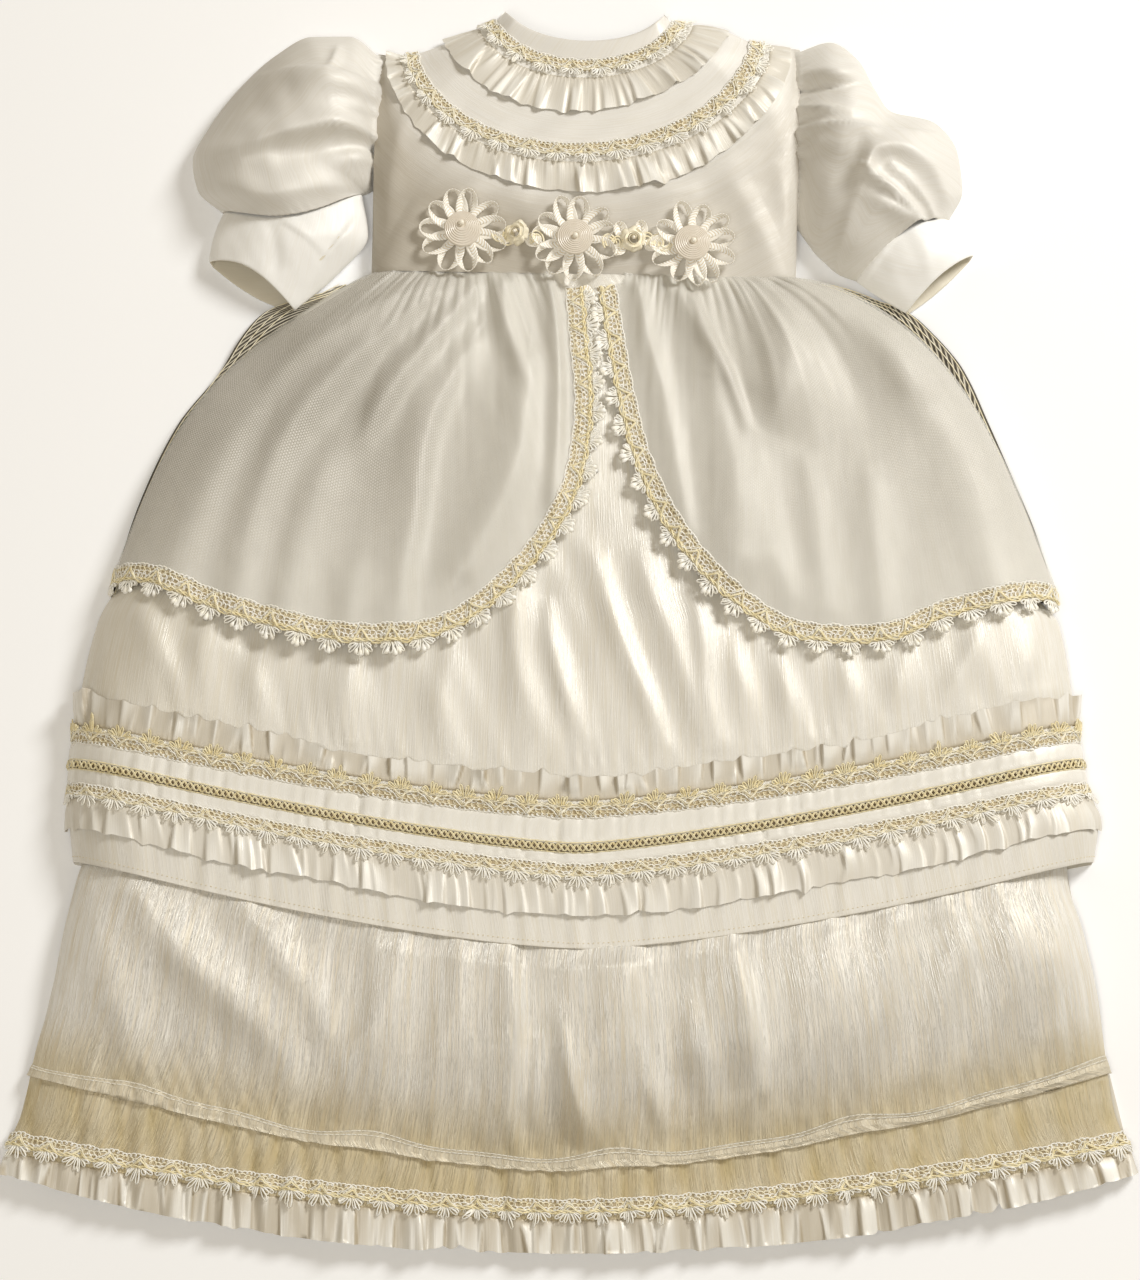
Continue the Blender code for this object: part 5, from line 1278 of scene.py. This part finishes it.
# %% Measures of the bodice
# (left x, left y, right x, right y, lowest y, height): neck seam, its braid's foot, its ruffle's edge,
# the yoke braid's top and foot, the yoke ruffle's edge
YOKE_LINES = ((-47, 385, 65, 383.5, 350, 21.5), (-57, 379, 78, 381, 338, 23), (-79, 369, 100, 377, 315, 24.5),
              (-96, 362.5, 114, 370.5, 293, 25), (-107, 360.5, 127, 367.5, 281.5, 25),
              (-117.5, 361, 141, 365.5, 260, 24))
SHOULDER_TIPS = ((-122.5, 361.5), (147.0, 364.5))
SHOULDER_RISE = (0.11, 0.50, 0.76, 0.92, 1.0)
ARMHOLE_HEIGHTS = (2.8, 11.0, 15.0, 15.0, 10.0, 5.0, 3.2)
BODICE_FOLDS = (
    ((-107, 309, 1, 7, 7), (-112, 276, 3, 9, 9), (-116, 240, 1, 8, 8)),
    ((-94, 253, 1, 8, 8), (-63, 262, 2, 9, 9), (-31, 256, 1, 8, 8)),
    ((132, 276, 1, 7, 7), (138, 246, 3, 8, 8), (141, 216, 1, 7, 7)),
    ((100, 270, 1, 9, 9), (114, 246, 2, 10, 10), (125, 223, 1, 9, 9)),
    ((75, 260, 1, 8, 8), (44, 262, 2, 8, 8), (19, 258, 1, 8, 8)),
)


def arch(line, w):
    """x = left + (right - left)(1 - cos pi w) / 2, and y falls to the lowest by sin(pi w)."""
    left_x, left_y, right_x, right_y, low_y = line[:5]
    share = (1 - np.cos(math.pi * w)) / 2
    middle = low_y - (left_y + right_y) / 2
    return np.stack((left_x + (right_x - left_x) * share,
                     left_y + (right_y - left_y) * share + middle * np.sin(math.pi * w)), -1)


def bodice_outline(w):
    """The outer edge at w from 0 to 1: a quarter of it down each armhole, the rest along the waist,
    with its heights; the waist's height rolls down to the table at both corners."""
    corners = np.array((SHOULDER_TIPS[0], WAIST_LEFT, WAIST_RIGHT, SHOULDER_TIPS[1]))
    corners[1:3, 1] += WAIST_GAP
    edge = np.column_stack([np.interp(w, (0, 0.25, 0.75, 1), corners[:, k]) for k in range(2)])
    from_corner = 1 - np.abs(2 * ramp(w, 0.25, 0.75) - 1)
    inner = ramp((corners[2, 0] - corners[1, 0]) / 2 * from_corner, 0, 18)
    bottom = 1.7 + (17.3 - 1.7) * np.sqrt(1 - (1 - inner) ** 2)
    side = smooth(np.minimum(w, 1 - w) * 24, range(7), ARMHOLE_HEIGHTS)
    return np.column_stack((edge, np.where((w > 0.25) & (w < 0.75), bottom, side)))


def bodice_panel(columns=170):
    """Rows 0 to 5 are the arches and what lies between them; from 5 to 8 the last one blends into the
    outer edge. Its height falls by a quarter circle at the armholes and more gently at the waist."""
    w = np.linspace(0, 1, columns)
    rows = np.concatenate((np.linspace(0, 5, 56), np.linspace(5.08, 8, 50)))
    table = np.array(YOKE_LINES, float)
    rise = smooth(np.minimum(w, 1 - w) * 24, (0, 1, 2, 3, 4, 12), (*SHOULDER_RISE, 1.0))
    outer = bodice_outline(w)
    at_waist = ramp(w, 0.27, 0.33) * ramp(w, 0.73, 0.67)
    points = []
    for s in rows:
        line = [float(smooth(min(s, 5), range(6), table[:, k])) for k in range(6)]
        row = np.column_stack((arch(line, w), line[5] * rise))
        blend = max(s - 5, 0) / 3
        top = row[:, 2]
        row = row * (1 - blend) + outer * blend
        round_fall, flat_fall = math.sqrt(1 - blend ** 2), 1 - blend ** 1.7
        row[:, 2] = outer[:, 2] + (top - outer[:, 2]) * (round_fall + (flat_fall - round_fall) * at_waist)
        points.append(row)
    points = np.array(points)
    x, y = points[..., 0], points[..., 1]
    down = rows[:, None]
    calm = ramp(np.minimum(w, 1 - w) * 18, 0, 1) * np.clip((down - 1) / 3, 0.2, 1)
    calm = calm * (0.3 + 0.7 * ramp(down, 8, 7.2))
    points[..., 2] += (fold_height(x, y, BODICE_FOLDS)
                       + unevenness(x, y, 51, 52, 1.3, 0.7) * ramp(down, 8, 6.4)
                       + unevenness(x, y, 52, 20, 0.2, 1)) * calm
    return Panel(points, rows, "bodice_silk")


bodice = bodice_panel()
# painted shade: the lower bodice darkens towards the waist, more on the left, where the silk falls away from
# the light
low = ramp(bodice.rows, 4.6, 6.1)[:, None]
cloth(bodice.name, bodice.points, "bodice_silk", "silk", "bodice_front", "draped",
      painted_shade=low * (0.58 - 0.2 * np.clip((bodice.points[..., 0] - 20) / 60, -1, 1)))

# %% Trims of the neck and the yoke
ruffle("neck_ruffle_silk", bodice, 1.03, 2, seed=53, rise=2.8, spacing=10.5)
ruffle("yoke_ruffle_silk", bodice, 4.05, 5, seed=54, rise=3.0)
braid("neck_braid_cords", bodice, 0.0, seed=55, fan=4.4)
braid("yoke_braid_cords", bodice, 3.0, seed=56, fan=5.4)

# %% [markdown]
# ## The neck band
#
# A stand collar is a straight strip set on the neck seam. Laid on its back its front half leans
# forward, and the back half lies under it, open at the centre back where it buttons.

# %% Neck band
NECK_TOP = (-41.5, 390.0, 60.5, 387.5, 362.0)
# share of the way from the foot to the head, and how far out of the band's middle
COLLAR_PROFILE = ((0, 0.35), (0.15, 0.5), (0.5, 0.75), (0.85, 0.6), (0.97, 0.35), (1.0, 0.0), (0.97, -0.5),
                  (0.6, -0.8), (0.0, -0.8))


def neck_band():
    """An arch with its foot on the neck seam and its head a little inside it. Rows run from the foot
    over a rounded top edge to the inside."""
    w = np.linspace(0, 1, 90)
    foot, head = arch(YOKE_LINES[0], w), arch(NECK_TOP, w)
    seam_height = np.maximum(bodice.at(0.0, w)[0][:, 2], 5.0)
    rise = 0.6 + 0.9 * np.sin(math.pi * w)
    turn = 0.35 + 0.65 * ramp(np.minimum(w, 1 - w), 0, 0.03) ** 0.5
    return np.array([np.column_stack((foot + (head - foot) * (share + 0.03),
                                      (seam_height + rise * share + out * 0.9) * turn))
                     for share, out in COLLAR_PROFILE])[::-1]


def neck_back():
    """The back half of the band, on the table: from shoulder to shoulder below the front's arch, with
    a gap where it opens."""
    w = np.linspace(0, 1, 60)
    foot, head = arch(YOKE_LINES[0], w), arch(NECK_TOP, w) + (0, 1.5)
    gap = 0.6 * np.sign(w - 0.5) * np.exp(-np.abs(w - 0.5) * 40)
    foot, head = foot + np.outer(gap, (1, 0)), head + np.outer(gap, (1, 0))
    return np.array([np.column_stack((foot + (head - foot) * share, np.full(60, z)))
                     for share, z in ((0, 0.9), (0.3, 1.9), (0.7, 2.2), (1.0, 1.5), (1.03, 0.6))])[::-1]


for name, points in (("neck_band_silk", neck_band()), ("neck_band_back_silk", neck_back())):
    cloth(name, points, "band_silk", "silk", "neck_band", "folded")

# %% [markdown]
# ## Sleeves and cuffs
#
# A puff sleeve is a wide tube gathered into the armhole and into a plain cuff. Laid flat, each ring
# of it is a flattened loop: a flat underside, short upright ends and a domed front. Ten measured rings
# are joined smoothly, and small gathers are added where the silk is sewn in.

# %% Measures of the sleeves
# (outer x, y, inner x, y, height, floor, bow of the front, bow of the underside)
SLEEVE_RINGS = {
    "left": ((-123.2, 360, -124.8, 268, 17, 0, 0, 0), (-141, 372, -125.9, 267.2, 29, 0, 0, 0),
             (-165, 371.5, -126.8, 266.6, 37, 0, 0, 0), (-188, 358.5, -127.6, 266.2, 41, 0, 0, 0),
             (-209, 338, -128.4, 265.9, 42, 0, 0, 0), (-228, 312, -129.1, 265.6, 40, 0, 0, 0),
             (-239, 288, -129.8, 265.4, 36, 0.4, -5, -3), (-235, 267.5, -130.4, 265.3, 31, 1, -11, -8),
             (-219, 253, -130.9, 265.2, 27, 1.6, -15, -13)),
    "right": ((147.7, 362.5, 143.9, 242, 17, 0, 0, 0), (166, 368, 149, 234, 29, 0, 0, 0),
              (184, 355.5, 155, 225.5, 36, 0, 0, 0), (194, 336, 161, 219.5, 38, 0, 0, 0),
              (204, 321, 165, 215.5, 41, 0, 0, 0), (230, 314, 169, 212.5, 42, 0, 0, 0),
              (245.5, 293, 173, 210.5, 38, 0.4, 2, 0), (248, 268, 176.5, 209, 32, 1, 5, 0),
              (239, 248, 179.5, 207.8, 27, 1.6, 7, 0))}
CUFF_RINGS = {
    "left": ((-218.6, 252.4, -131.1, 264.4, 26.5, 1.6, -15, -13), (-222.5, 243, -127, 238, 27, 1.8, -7, -7),
             (-225.5, 232, -146, 212, 25, 1.8, 1, -5), (-227, 221, -172, 189, 21, 1.8, 8, -5)),
    "right": ((239.6, 247.2, 180, 207.1, 26.5, 1.6, 7, 0), (244.5, 240, 190, 199.5, 27, 1.8, 5, -1),
              (249.5, 232.5, 200, 193, 25, 1.8, 4, -2), (253.5, 225, 210, 187, 21, 1.8, 3, -3))}
SLEEVE_FOLDS = {
    "left": (
        ((-184, 340, 2, 14, 2), (-165, 338, 5, 14, 2.5), (-144, 335, 5, 12, 2.5), (-121, 333, 3, 7, 2)),
        ((-119, 324, 4, 5, 4), (-135, 326, 5, 9, 8), (-152, 327, 4, 13, 12), (-176, 326, 1, 14, 14)),
        ((-231, 280, 2, 6, 16), (-198, 287, 6, 5, 18), (-167, 294, 7, 4, 14), (-144, 299, 7, 3.5, 10),
         (-119, 299, 4, 2.5, 6)),
        ((-121, 294, -3, 3, 3), (-136, 291, -5, 5, 4), (-152, 286, -4, 8, 6), (-178, 280, -2, 12, 8)),
        ((-226, 274, 1, 10, 10), (-212, 262, 5, 12, 14), (-185, 256, 6, 10, 16), (-152, 262, 5, 8, 12),
         (-131, 270, 2, 6, 8)),
        ((-120, 315, 3, 3, 3), (-133, 314, 3, 4, 4), (-146, 313, 1, 6, 6)),
        ((-120, 284, 3, 3, 3), (-130, 282, 3, 5, 4), (-144, 276, 1, 7, 6)),
        ((-151, 340, 2, 3, 3), (-148, 349, 4, 3, 3), (-147, 358, 2, 3, 3))),
    "right": (
        ((147, 343, 2, 5, 6), (160, 341, 6, 6, 7), (173, 339, 6, 6, 7), (182, 343, 3, 5, 6)),
        ((144, 332, -3, 2.5, 2.5), (160, 331, -5, 3, 3), (172, 331, -4, 3, 3), (184, 334, -1, 3, 3)),
        ((141, 320, 3, 2.5, 3), (150, 317, 4, 2.5, 4), (163, 313, 4, 3, 5), (176, 311, 2, 4, 6)),
        ((143, 304, 4, 8, 2), (166, 302, 6, 12, 2), (189, 298, 7, 14, 2.5), (212, 297, 6, 13, 2.5),
         (232, 299, 3, 9, 2.5)),
        ((184, 271, 4, 5, 6), (190, 281, 6, 6, 7), (206, 283, 6, 7, 8), (224, 275, 6, 8, 8),
         (236, 258, 3, 6, 6)),
        ((184, 269, 4, 5, 3), (199, 256, 6, 4, 3), (219, 241, 4, 3, 3)),
        ((199, 271, 2, 3, 3), (212, 260, 4, 4, 3), (230, 243, 3, 3, 3)),
        ((206, 263, -2, 3, 3), (222, 249, -3, 3, 3)),
        ((182, 255, 1, 6, 6), (199, 246, 4, 6, 3), (222, 236, 4, 5, 3)),
        ((142, 290, 3, 3, 3), (156, 290, 3, 5, 5), (172, 286, 1, 8, 8)))}
CUFF_FOLDS = {
    "left": (((-178, 240, 1, 1, 4), (-165, 231, 1.3, 1, 5), (-153, 221, 1.0, 1, 4)),
             ((-158, 205, 2, 5, 2), (-150, 222, 3.5, 5, 1.5), (-140, 236, 3.5, 5, 1.5), (-128, 256, 2, 4, 2)),
             ((-186, 236, -1, 4, 4), (-183, 214, -2, 5, 5))),
    "right": (((184, 206, 1, 1, 4), (196, 222, 1.2, 1, 4), (204, 232, 1, 1, 4)),
              ((215, 236, 1, 6, 6), (222, 222, 2, 8, 8), (222, 205, 1, 6, 6)))}


def flattened_rings(rings, count, around, front_relief):
    """The front of a ring spans it by a cosine-spaced share and stands sin(pi share) ^ 0.62 high; the
    underside goes back along the same span at the floor. front_relief(x, y, row, share) is added."""
    rows = np.linspace(0, len(rings) - 1, count)
    ox, oy, ix, iy, height, floor, bow, back_bow = (smooth(rows, range(len(rings)), numbers)[:, None]
                                                    for numbers in zip(*rings))

    def span(share, bow):
        return ox + (ix - ox) * share, oy + (iy - oy) * share + bow * np.sin(math.pi * share)

    share = (1 - np.cos(np.linspace(0, math.pi, around // 2))) / 2
    end = np.minimum(6.0, height * 0.3)
    x, y = span(share, bow)
    dome = (height - floor - end) * np.sin(math.pi * share) ** 0.62
    front = np.dstack((x, y, floor + end + dome
                       + front_relief(x, y, rows[:, None], share) * np.sin(math.pi * share) ** 0.5))
    x, y = span(np.clip(0.03 + 0.94 * share[::-1], 0, 1), back_bow)
    return np.concatenate((front, np.dstack((x, y, floor + 0 * x))), axis=1)


def tucked(points, row, depth):
    """A ring of the tube drawn in towards its middle by depth mm, to hide the end under its neighbour."""
    ring = points[row]
    return ring + depth * unit(ring.mean(axis=0) - ring)


def sleeve(side):
    """Folds, and gathers along both seams that die out over 20 to 30 mm. The upper end goes on under
    the bodice and the lower one under the cuff."""
    left = side == "left"
    last = len(SLEEVE_RINGS[side]) - 1
    phase = np.random.default_rng(61 if left else 62).uniform(0, 6, 3)

    def relief(x, y, row, share):
        u = share * 100
        crimp = np.abs(np.sin(u * 0.95 + 1.3 * np.sin(u * 0.17 + phase[0]))) ** 1.2 - 0.4
        crimp_low = np.abs(np.sin(u * 0.8 + 1.5 * np.sin(u * 0.13 + phase[1]))) ** 1.4 - 0.4
        return (1.5 * fold_height(x, y, SLEEVE_FOLDS[side]) + unevenness(x, y, 63, 46, 1.6, 1)
                + 2.6 * crimp * np.exp(-row / 0.45) + 1.2 * crimp_low * np.exp(-(last - row) / 0.35))

    points = flattened_rings(SLEEVE_RINGS[side], 104, 140, relief)
    under = [points[0] * (1, 1, share) + ((out if left else -out), 0, 0)
             for out, share in ((6, 0.55), (2.5, 0.85), (0.9, 0.97))]
    points = np.concatenate((under, points, [tucked(points, -1, depth) for depth in (0.4, 1.2)]))
    return points if left else points[:, ::-1]


def cuff(side):
    """A plain band: slight dents only, its mouth's edge turned in and a lining behind it."""
    def relief(x, y, row, share):
        return fold_height(x, y, CUFF_FOLDS[side]) + unevenness(x, y, 65, 30, 0.9, 1)

    points = flattened_rings(CUFF_RINGS[side], 34, 110, relief)
    points = points if side == "left" else points[:, ::-1]
    back = unit(points[0] - points[3])
    points = np.concatenate(([tucked(points, 0, 1.5) + 4 * back, tucked(points, 0, 0.8) + back], points))
    run = unit(points[-1] - points[-4])
    edge = [tucked(points, -1, depth) + out * run for depth, out in ((0.3, 0.5), (1.0, 0.5), (1.4, 0))]
    lining = [tucked(points, -1 - k, 1.4) for k in range(2, 30, 3)]
    return np.concatenate((points, edge, lining))


# %% Both sleeves and cuffs
for side in SIDES:
    puff, band = sleeve(side), cuff(side)
    # painted shade on the left sleeve's upper outer part, which lies away from the lamp
    outer = ramp(puff[..., 0], -150, -190) * ramp(puff[..., 1], 290, 330)
    cloth("sleeve_silk_" + side, puff, "sleeve_silk", "silk", "sleeve_" + side, "gathered", painted_shade=0.4 * outer,
          ring=True)
    # painted shade inside the cuff's mouth, on its lining
    inside = np.arange(len(band))[:, None] > 36
    cloth("cuff_painted_light_silk_" + side, band, "cuff_painted_light_silk", "silk", "cuff_" + side, "folded", painted_shade=0.45 * inside,
          ring=True)

# %% [markdown]
# ## Ribbon flowers
#
# Each flower is one length of ribbed ribbon taken out and back eleven times under a turned button.
# Near the hub a loop lies open with its face up; at its tip the ribbon stands on its edge. Two lines
# say all of that: a narrow teardrop below and a wider one above, with the ribbon stretched between.

# %% Petals
RIBBON_WIDTH = 4.2
RIBBON_WALL = 0.3


def ribbons(name, grids, paint, node):
    """Several equal grids (piece, row, column, xyz) as one mesh, each with its own cloth map."""
    count, rows, columns = grids.shape[:3]
    faces = grid_faces(rows, columns)
    uv = np.concatenate([np.stack(cloth_lengths(grid), -1).reshape(-1, 2)[faces.ravel()] * MM
                         for grid in grids])
    faces = (faces[None] + (np.arange(count) * rows * columns)[:, None, None]).reshape(-1, 4)
    dress(thicken(mesh_of(name, grids.reshape(-1, 3), faces, paint, uv), RIBBON_WALL, 0), "ribbon", node)


def turn_by(first, second, angle):
    """Two coordinates after a turn from the first axis towards the second."""
    c, s = np.cos(angle), np.sin(angle)
    return first * c - second * s, first * s + second * c


def seat(points, x, y, foot, rise):
    """Turn about the X axis by the slope of the waist and move to the place on the bodice."""
    px, py, pz = np.moveaxis(np.asarray(points, float), -1, 0)
    py, pz = turn_by(py, pz, math.atan(rise))
    return np.stack((px + x, py + y, pz + foot), -1)


def petals(count, long, wide, seed, hub=5.0):
    """Loop k: out = hub + reach (1 - cos t) / 2 and the ribbon's outer edge lies half sin t beside the
    middle line. From there the ribbon runs inwards, flat at the hub and turned upright at the tip by
    90 degrees * sin(t / 2) ^ 6."""
    rng = np.random.default_rng(seed)
    t = np.linspace(0, FULL_TURN, 37)
    v = np.linspace(0, 1, 5)[:, None]
    side = np.tanh(5 * np.sin(t))
    stand = np.abs(np.sin(t / 2)) ** 6
    up = QUARTER_TURN * stand
    grids = []
    for k in range(count):
        turn = FULL_TURN * (k + rng.uniform(-0.2, 0.2)) / count + 0.2
        reach = (long - hub) * rng.uniform(0.9, 1.03)
        half = wide / 2 * rng.uniform(0.88, 1.12)
        outer = np.sin(t) * (0.72 + 0.28 * np.sin(t / 2) ** 2) * half + side * 1.9 * (1 - stand)
        beside = outer - side * RIBBON_WIDTH * np.cos(up) * (1 - v)
        out = hub + reach * (1 - np.cos(t)) / 2 + v * stand * rng.uniform(-0.2, 1.0)
        z = (0.7 + v * (RIBBON_WIDTH * np.sin(up) + 0.7 * (1 - stand)) + 0.45 * side * (1 - stand)
             + 0.6 * rng.uniform(0, 1) * stand)
        grids.append(np.stack((*turn_by(out, beside, turn), z), -1))
    return np.array(grids)


# (x, y, height of the foot, rise towards the neck)
FLOWERS = {"left": (-67, 235, 23.25, 0.09), "middle": (3, 230, 23.2, 0.09), "right": (76, 226, 23.4, 0.04)}
for number, (name, place) in enumerate(FLOWERS.items()):
    ribbons("flower_ribbon_" + name, seat(petals(11, 27.5, 12.5, 71 + number), *place), "flower_ribbon",
            "flower_" + name)

# %% [markdown]
# ## Turned buttons
#
# A button is a profile turned about its axis: a low cone with fine rings cut by the lathe, a small
# dish in the middle and a pearl in the dish. The profile is a list of radii and heights.

# %% Buttons
def turned(profile, around, offset=(0.0, 0.0)):
    """Radius and height turned about the axis. The middle may stand off the axis by offset, which
    fades with the radius."""
    radius, height = np.array(profile, float).T[:, :, None]
    angle = np.linspace(0, FULL_TURN, around, endpoint=False)
    fade = np.clip(1 - radius / radius.max(), 0, 1)
    return np.stack((radius * np.cos(angle) + offset[0] * fade, radius * np.sin(angle) + offset[1] * fade,
                     height + 0 * angle), -1)


def ball(radius, height, around):
    """A pearl: half a circle turned about the axis."""
    half_turn = np.linspace(0, math.pi, 13)
    return turned([(radius * math.sin(a), height + radius * math.cos(a)) for a in half_turn], around)


def closed(name, points, paint, slot, node):
    """A turned piece whose points that meet at a pole are merged."""
    made = surface(name, points, paint, ring=True)
    mesh = bmesh.new()
    mesh.from_mesh(made.data)
    bmesh.ops.remove_doubles(mesh, verts=mesh.verts, dist=1e-6)
    mesh.to_mesh(made.data)
    mesh.free()
    dress(made, slot, node)


BUTTON_RADIUS, BUTTON_RISE, RING_PITCH = 11.4, 2.3, 1.15
BUTTON_LIFT = 4.0        # of the button over the foot of its flower
MIDDLE_OFFSET = {"left": (-0.6, 3.6), "middle": (0.4, 0.2), "right": (0.9, 0.8)}
radius = np.linspace(3.2, BUTTON_RADIUS - 0.5, 64)
rings = 0.16 * np.sin(radius * FULL_TURN / RING_PITCH)
cone = 2.2 + BUTTON_RISE * (1 - radius / BUTTON_RADIUS) ** 0.85 + rings
dish = [(0, 3.2), (1.2, 3.2), (2.2, 3.3), (2.7, 3.9), (3.0, 4.0)]
rim = [(BUTTON_RADIUS - inside, height)
       for inside, height in ((0.2, 2.15), (0, 1.8), (0.1, 1.3), (0.6, 0.9), (2, 0.7), (BUTTON_RADIUS, 0.6))]
button_profile = dish + list(zip(radius, cone)) + rim
for name, (x, y, foot, rise) in FLOWERS.items():
    seated = (x, y, foot + BUTTON_LIFT, rise)
    offset = MIDDLE_OFFSET[name]
    disc = seat(turned(button_profile, 72, offset), *seated)
    middle = seat(ball(1.95, 4.5, 24) + (offset[0] * 0.95, offset[1] * 0.95, 0), *seated)
    closed("button_" + name, disc, "button_shell", "button", "flower_button_" + name)
    closed("pearl_" + name, middle, "pearl", "button", "flower_button_" + name)

# %% [markdown]
# ## Roses and gimp
#
# The two small roses are strips of ribbon rolled up: a spiral that leans outwards as it grows, with a
# pearl in its heart. Beside them the ends of the ribbon and scrolls of gimp cord fill the gaps.

# %% Roses
def rose(seed, tilt):
    """A bud, 2.2 turns of ribbon of radius 1 + 2.5 t; round it five petals 2 sqrt(1 - w^2) deep lie
    over each other like tiles and sink outwards by 2.2 v^2."""
    rng = np.random.default_rng(seed)
    t = np.linspace(0, 1, 90)
    v = np.linspace(0, 1, 6)[:, None]
    turn = FULL_TURN * 2.2 * t
    radius = 1.0 + 2.5 * t + v * (0.2 + 0.9 * t)
    z = 1.0 + v * (5.4 - 1.9 * t + 0.3 * np.sin(turn * 2.3))
    grids = [np.stack((radius * np.cos(turn), radius * np.sin(turn), z), -1)]
    w = np.linspace(-1, 1, 90)
    for k in range(5):
        turn = FULL_TURN * k / 5 + rng.uniform(-0.15, 0.15) + 0.85 * w
        radius = 2.3 + v * (3.2 * np.sqrt(np.clip(1 - w ** 2, 0, 1)) ** 0.7 + 0.25 * np.sin(w * 7 + k))
        z = 4.4 - 2.2 * v ** 2 + 0.7 * w * (0.3 + v) + 0.3 * np.sin(w * 5 + k) * v
        grids.append(np.stack((radius * np.cos(turn), radius * np.sin(turn), z), -1))
    x, y, z = np.moveaxis(np.array(grids) * (1.5, 1.5, 1.15), -1, 0)
    z, x = turn_by(z, x, tilt)
    return np.stack((x, y, z), -1)


# (x, y, height of the foot, rise towards the neck, seed, tilt)
ROSES = {"left": (-32, 233, 25.2, 0.09, 81, -0.45), "right": (39, 229.5, 23.3, 0.09, 82, 0.1)}
for name, (x, y, foot, rise, seed, tilt) in ROSES.items():
    ribbons("rose_ribbon_" + name, seat(rose(seed, tilt), x, y, foot, rise), "rose_ribbon", "rose_" + name)
    heart = ball(1.2, 7.4, 18) + (6.0 * math.sin(tilt), 0, 0)
    closed("rose_pearl_" + name, seat(heart, x, y, foot, rise), "pearl", "ribbon", "rose_" + name)


# %% Gimp scrolls and ribbon leaves
# (x, y, size, turn, height of the foot)
SCROLLS = ((-44, 232, 4.2, 3.3, 23.3), (-39, 229, 3.6, 2.7, 23.3), (-21, 231, 3.8, 0.2, 23.4),
           (24, 229, 3.8, 0.4, 23.2), (29.5, 228, 3.2, -0.3, 23.2), (48, 229.5, 4.2, 0.1, 23.2),
           (54, 228, 4.4, -0.4, 23.2), (59, 225.5, 3.8, 2.9, 23.2))
# (x, y, turn, length, height of the foot)
LEAVES = ((-27, 233, -0.5, 11, 23.4), (-26, 231, -1.0, 10, 23.2), (-38, 234, 2.7, 9, 23.2),
          (33, 231, 2.3, 10, 23.0), (33, 227, 3.9, 9, 23.0), (45, 232, 0.9, 9, 23.0),
          (46, 226, -0.6, 11, 23.0), (52, 224, -0.2, 10, 23.0), (8, 201, -1.35, 12, 19.0))


def scroll(x, y, size, turn, foot):
    """Two nested horseshoes of cord."""
    t = np.linspace(-0.35, math.pi + 0.35, 22)
    cords = []
    for r in (size * 1.1, size * 0.68):
        px, py = turn_by(r * np.cos(t), r * 1.35 * np.sin(t) - size * 0.5, turn)
        cords.append(np.stack((x + px, y + py, foot + 1.6 + 0.8 * np.sin(t)), -1))
    return cords


def leaf(x, y, turn, long, foot, seed):
    """A ribbon loop that lies lower than the flowers' petals."""
    px, py, pz = np.moveaxis(petals(1, long, 6.0, seed, hub=0.5)[0], -1, 0)
    px, py = turn_by(px, py, turn)
    return np.stack((x + px, y + py, foot + pz * 0.8), -1)


scrolls = np.array([cord for place in SCROLLS for cord in scroll(*place)])
dress(mesh_of("gimp_scrolls", *tubes(scrolls, UP, 0.55, 6), "cream_cord"), "ribbon", "rose_left")
leaves = np.array([leaf(*place, seed=91 + k) for k, place in enumerate(LEAVES)])
ribbons("ribbon_leaves", leaves, "flower_ribbon", "rose_right")

# %% [markdown]
# ## The backs
#
# Under the fronts lie the plain back panels. They are flat cloth, so their solids already have the
# right form, and only the silk is missing. A solid carries no cloth map, so this silk reads its place
# in the room instead, and takes the same streaks from it.

# %% Silk on the back panels
def plain_silk(name, light, dark):
    """The mix of two tones by streaks along Y, 1.2 mm apart, with a slight bump."""
    tree, shader = paint_of(name)
    place = part_of(tree, "TexCoord").outputs["Object"]
    streak = noise(tree, place, (800.0, 25.0, 25.0), 3.0)
    wire(tree, shader, ("Base Color", tones(tree, streak, light, dark)), ("Normal", bump(tree, streak, 0.3)),
         ("Roughness", 0.5), ("Metallic", 0.2))


plain_silk("plain_silk", *SILKS["tier_silk"][:2])
for name in ("skirt_back", "tier_back", "bodice_back_left", "bodice_back_right"):
    panel = bpy.data.objects[name]
    panel.data.materials.clear()
    panel.data.materials.append(PAINTS["plain_silk"])
    corners = np.array([vertex.co for vertex in panel.data.vertices])

# %% [markdown]
# ## The box
#
# Last we print the box of all visible pieces, the table left out, in mm.

# %% The box
low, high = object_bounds()
print("box in mm:", [round(1000 * v, 1) for v in (*low, *high)])
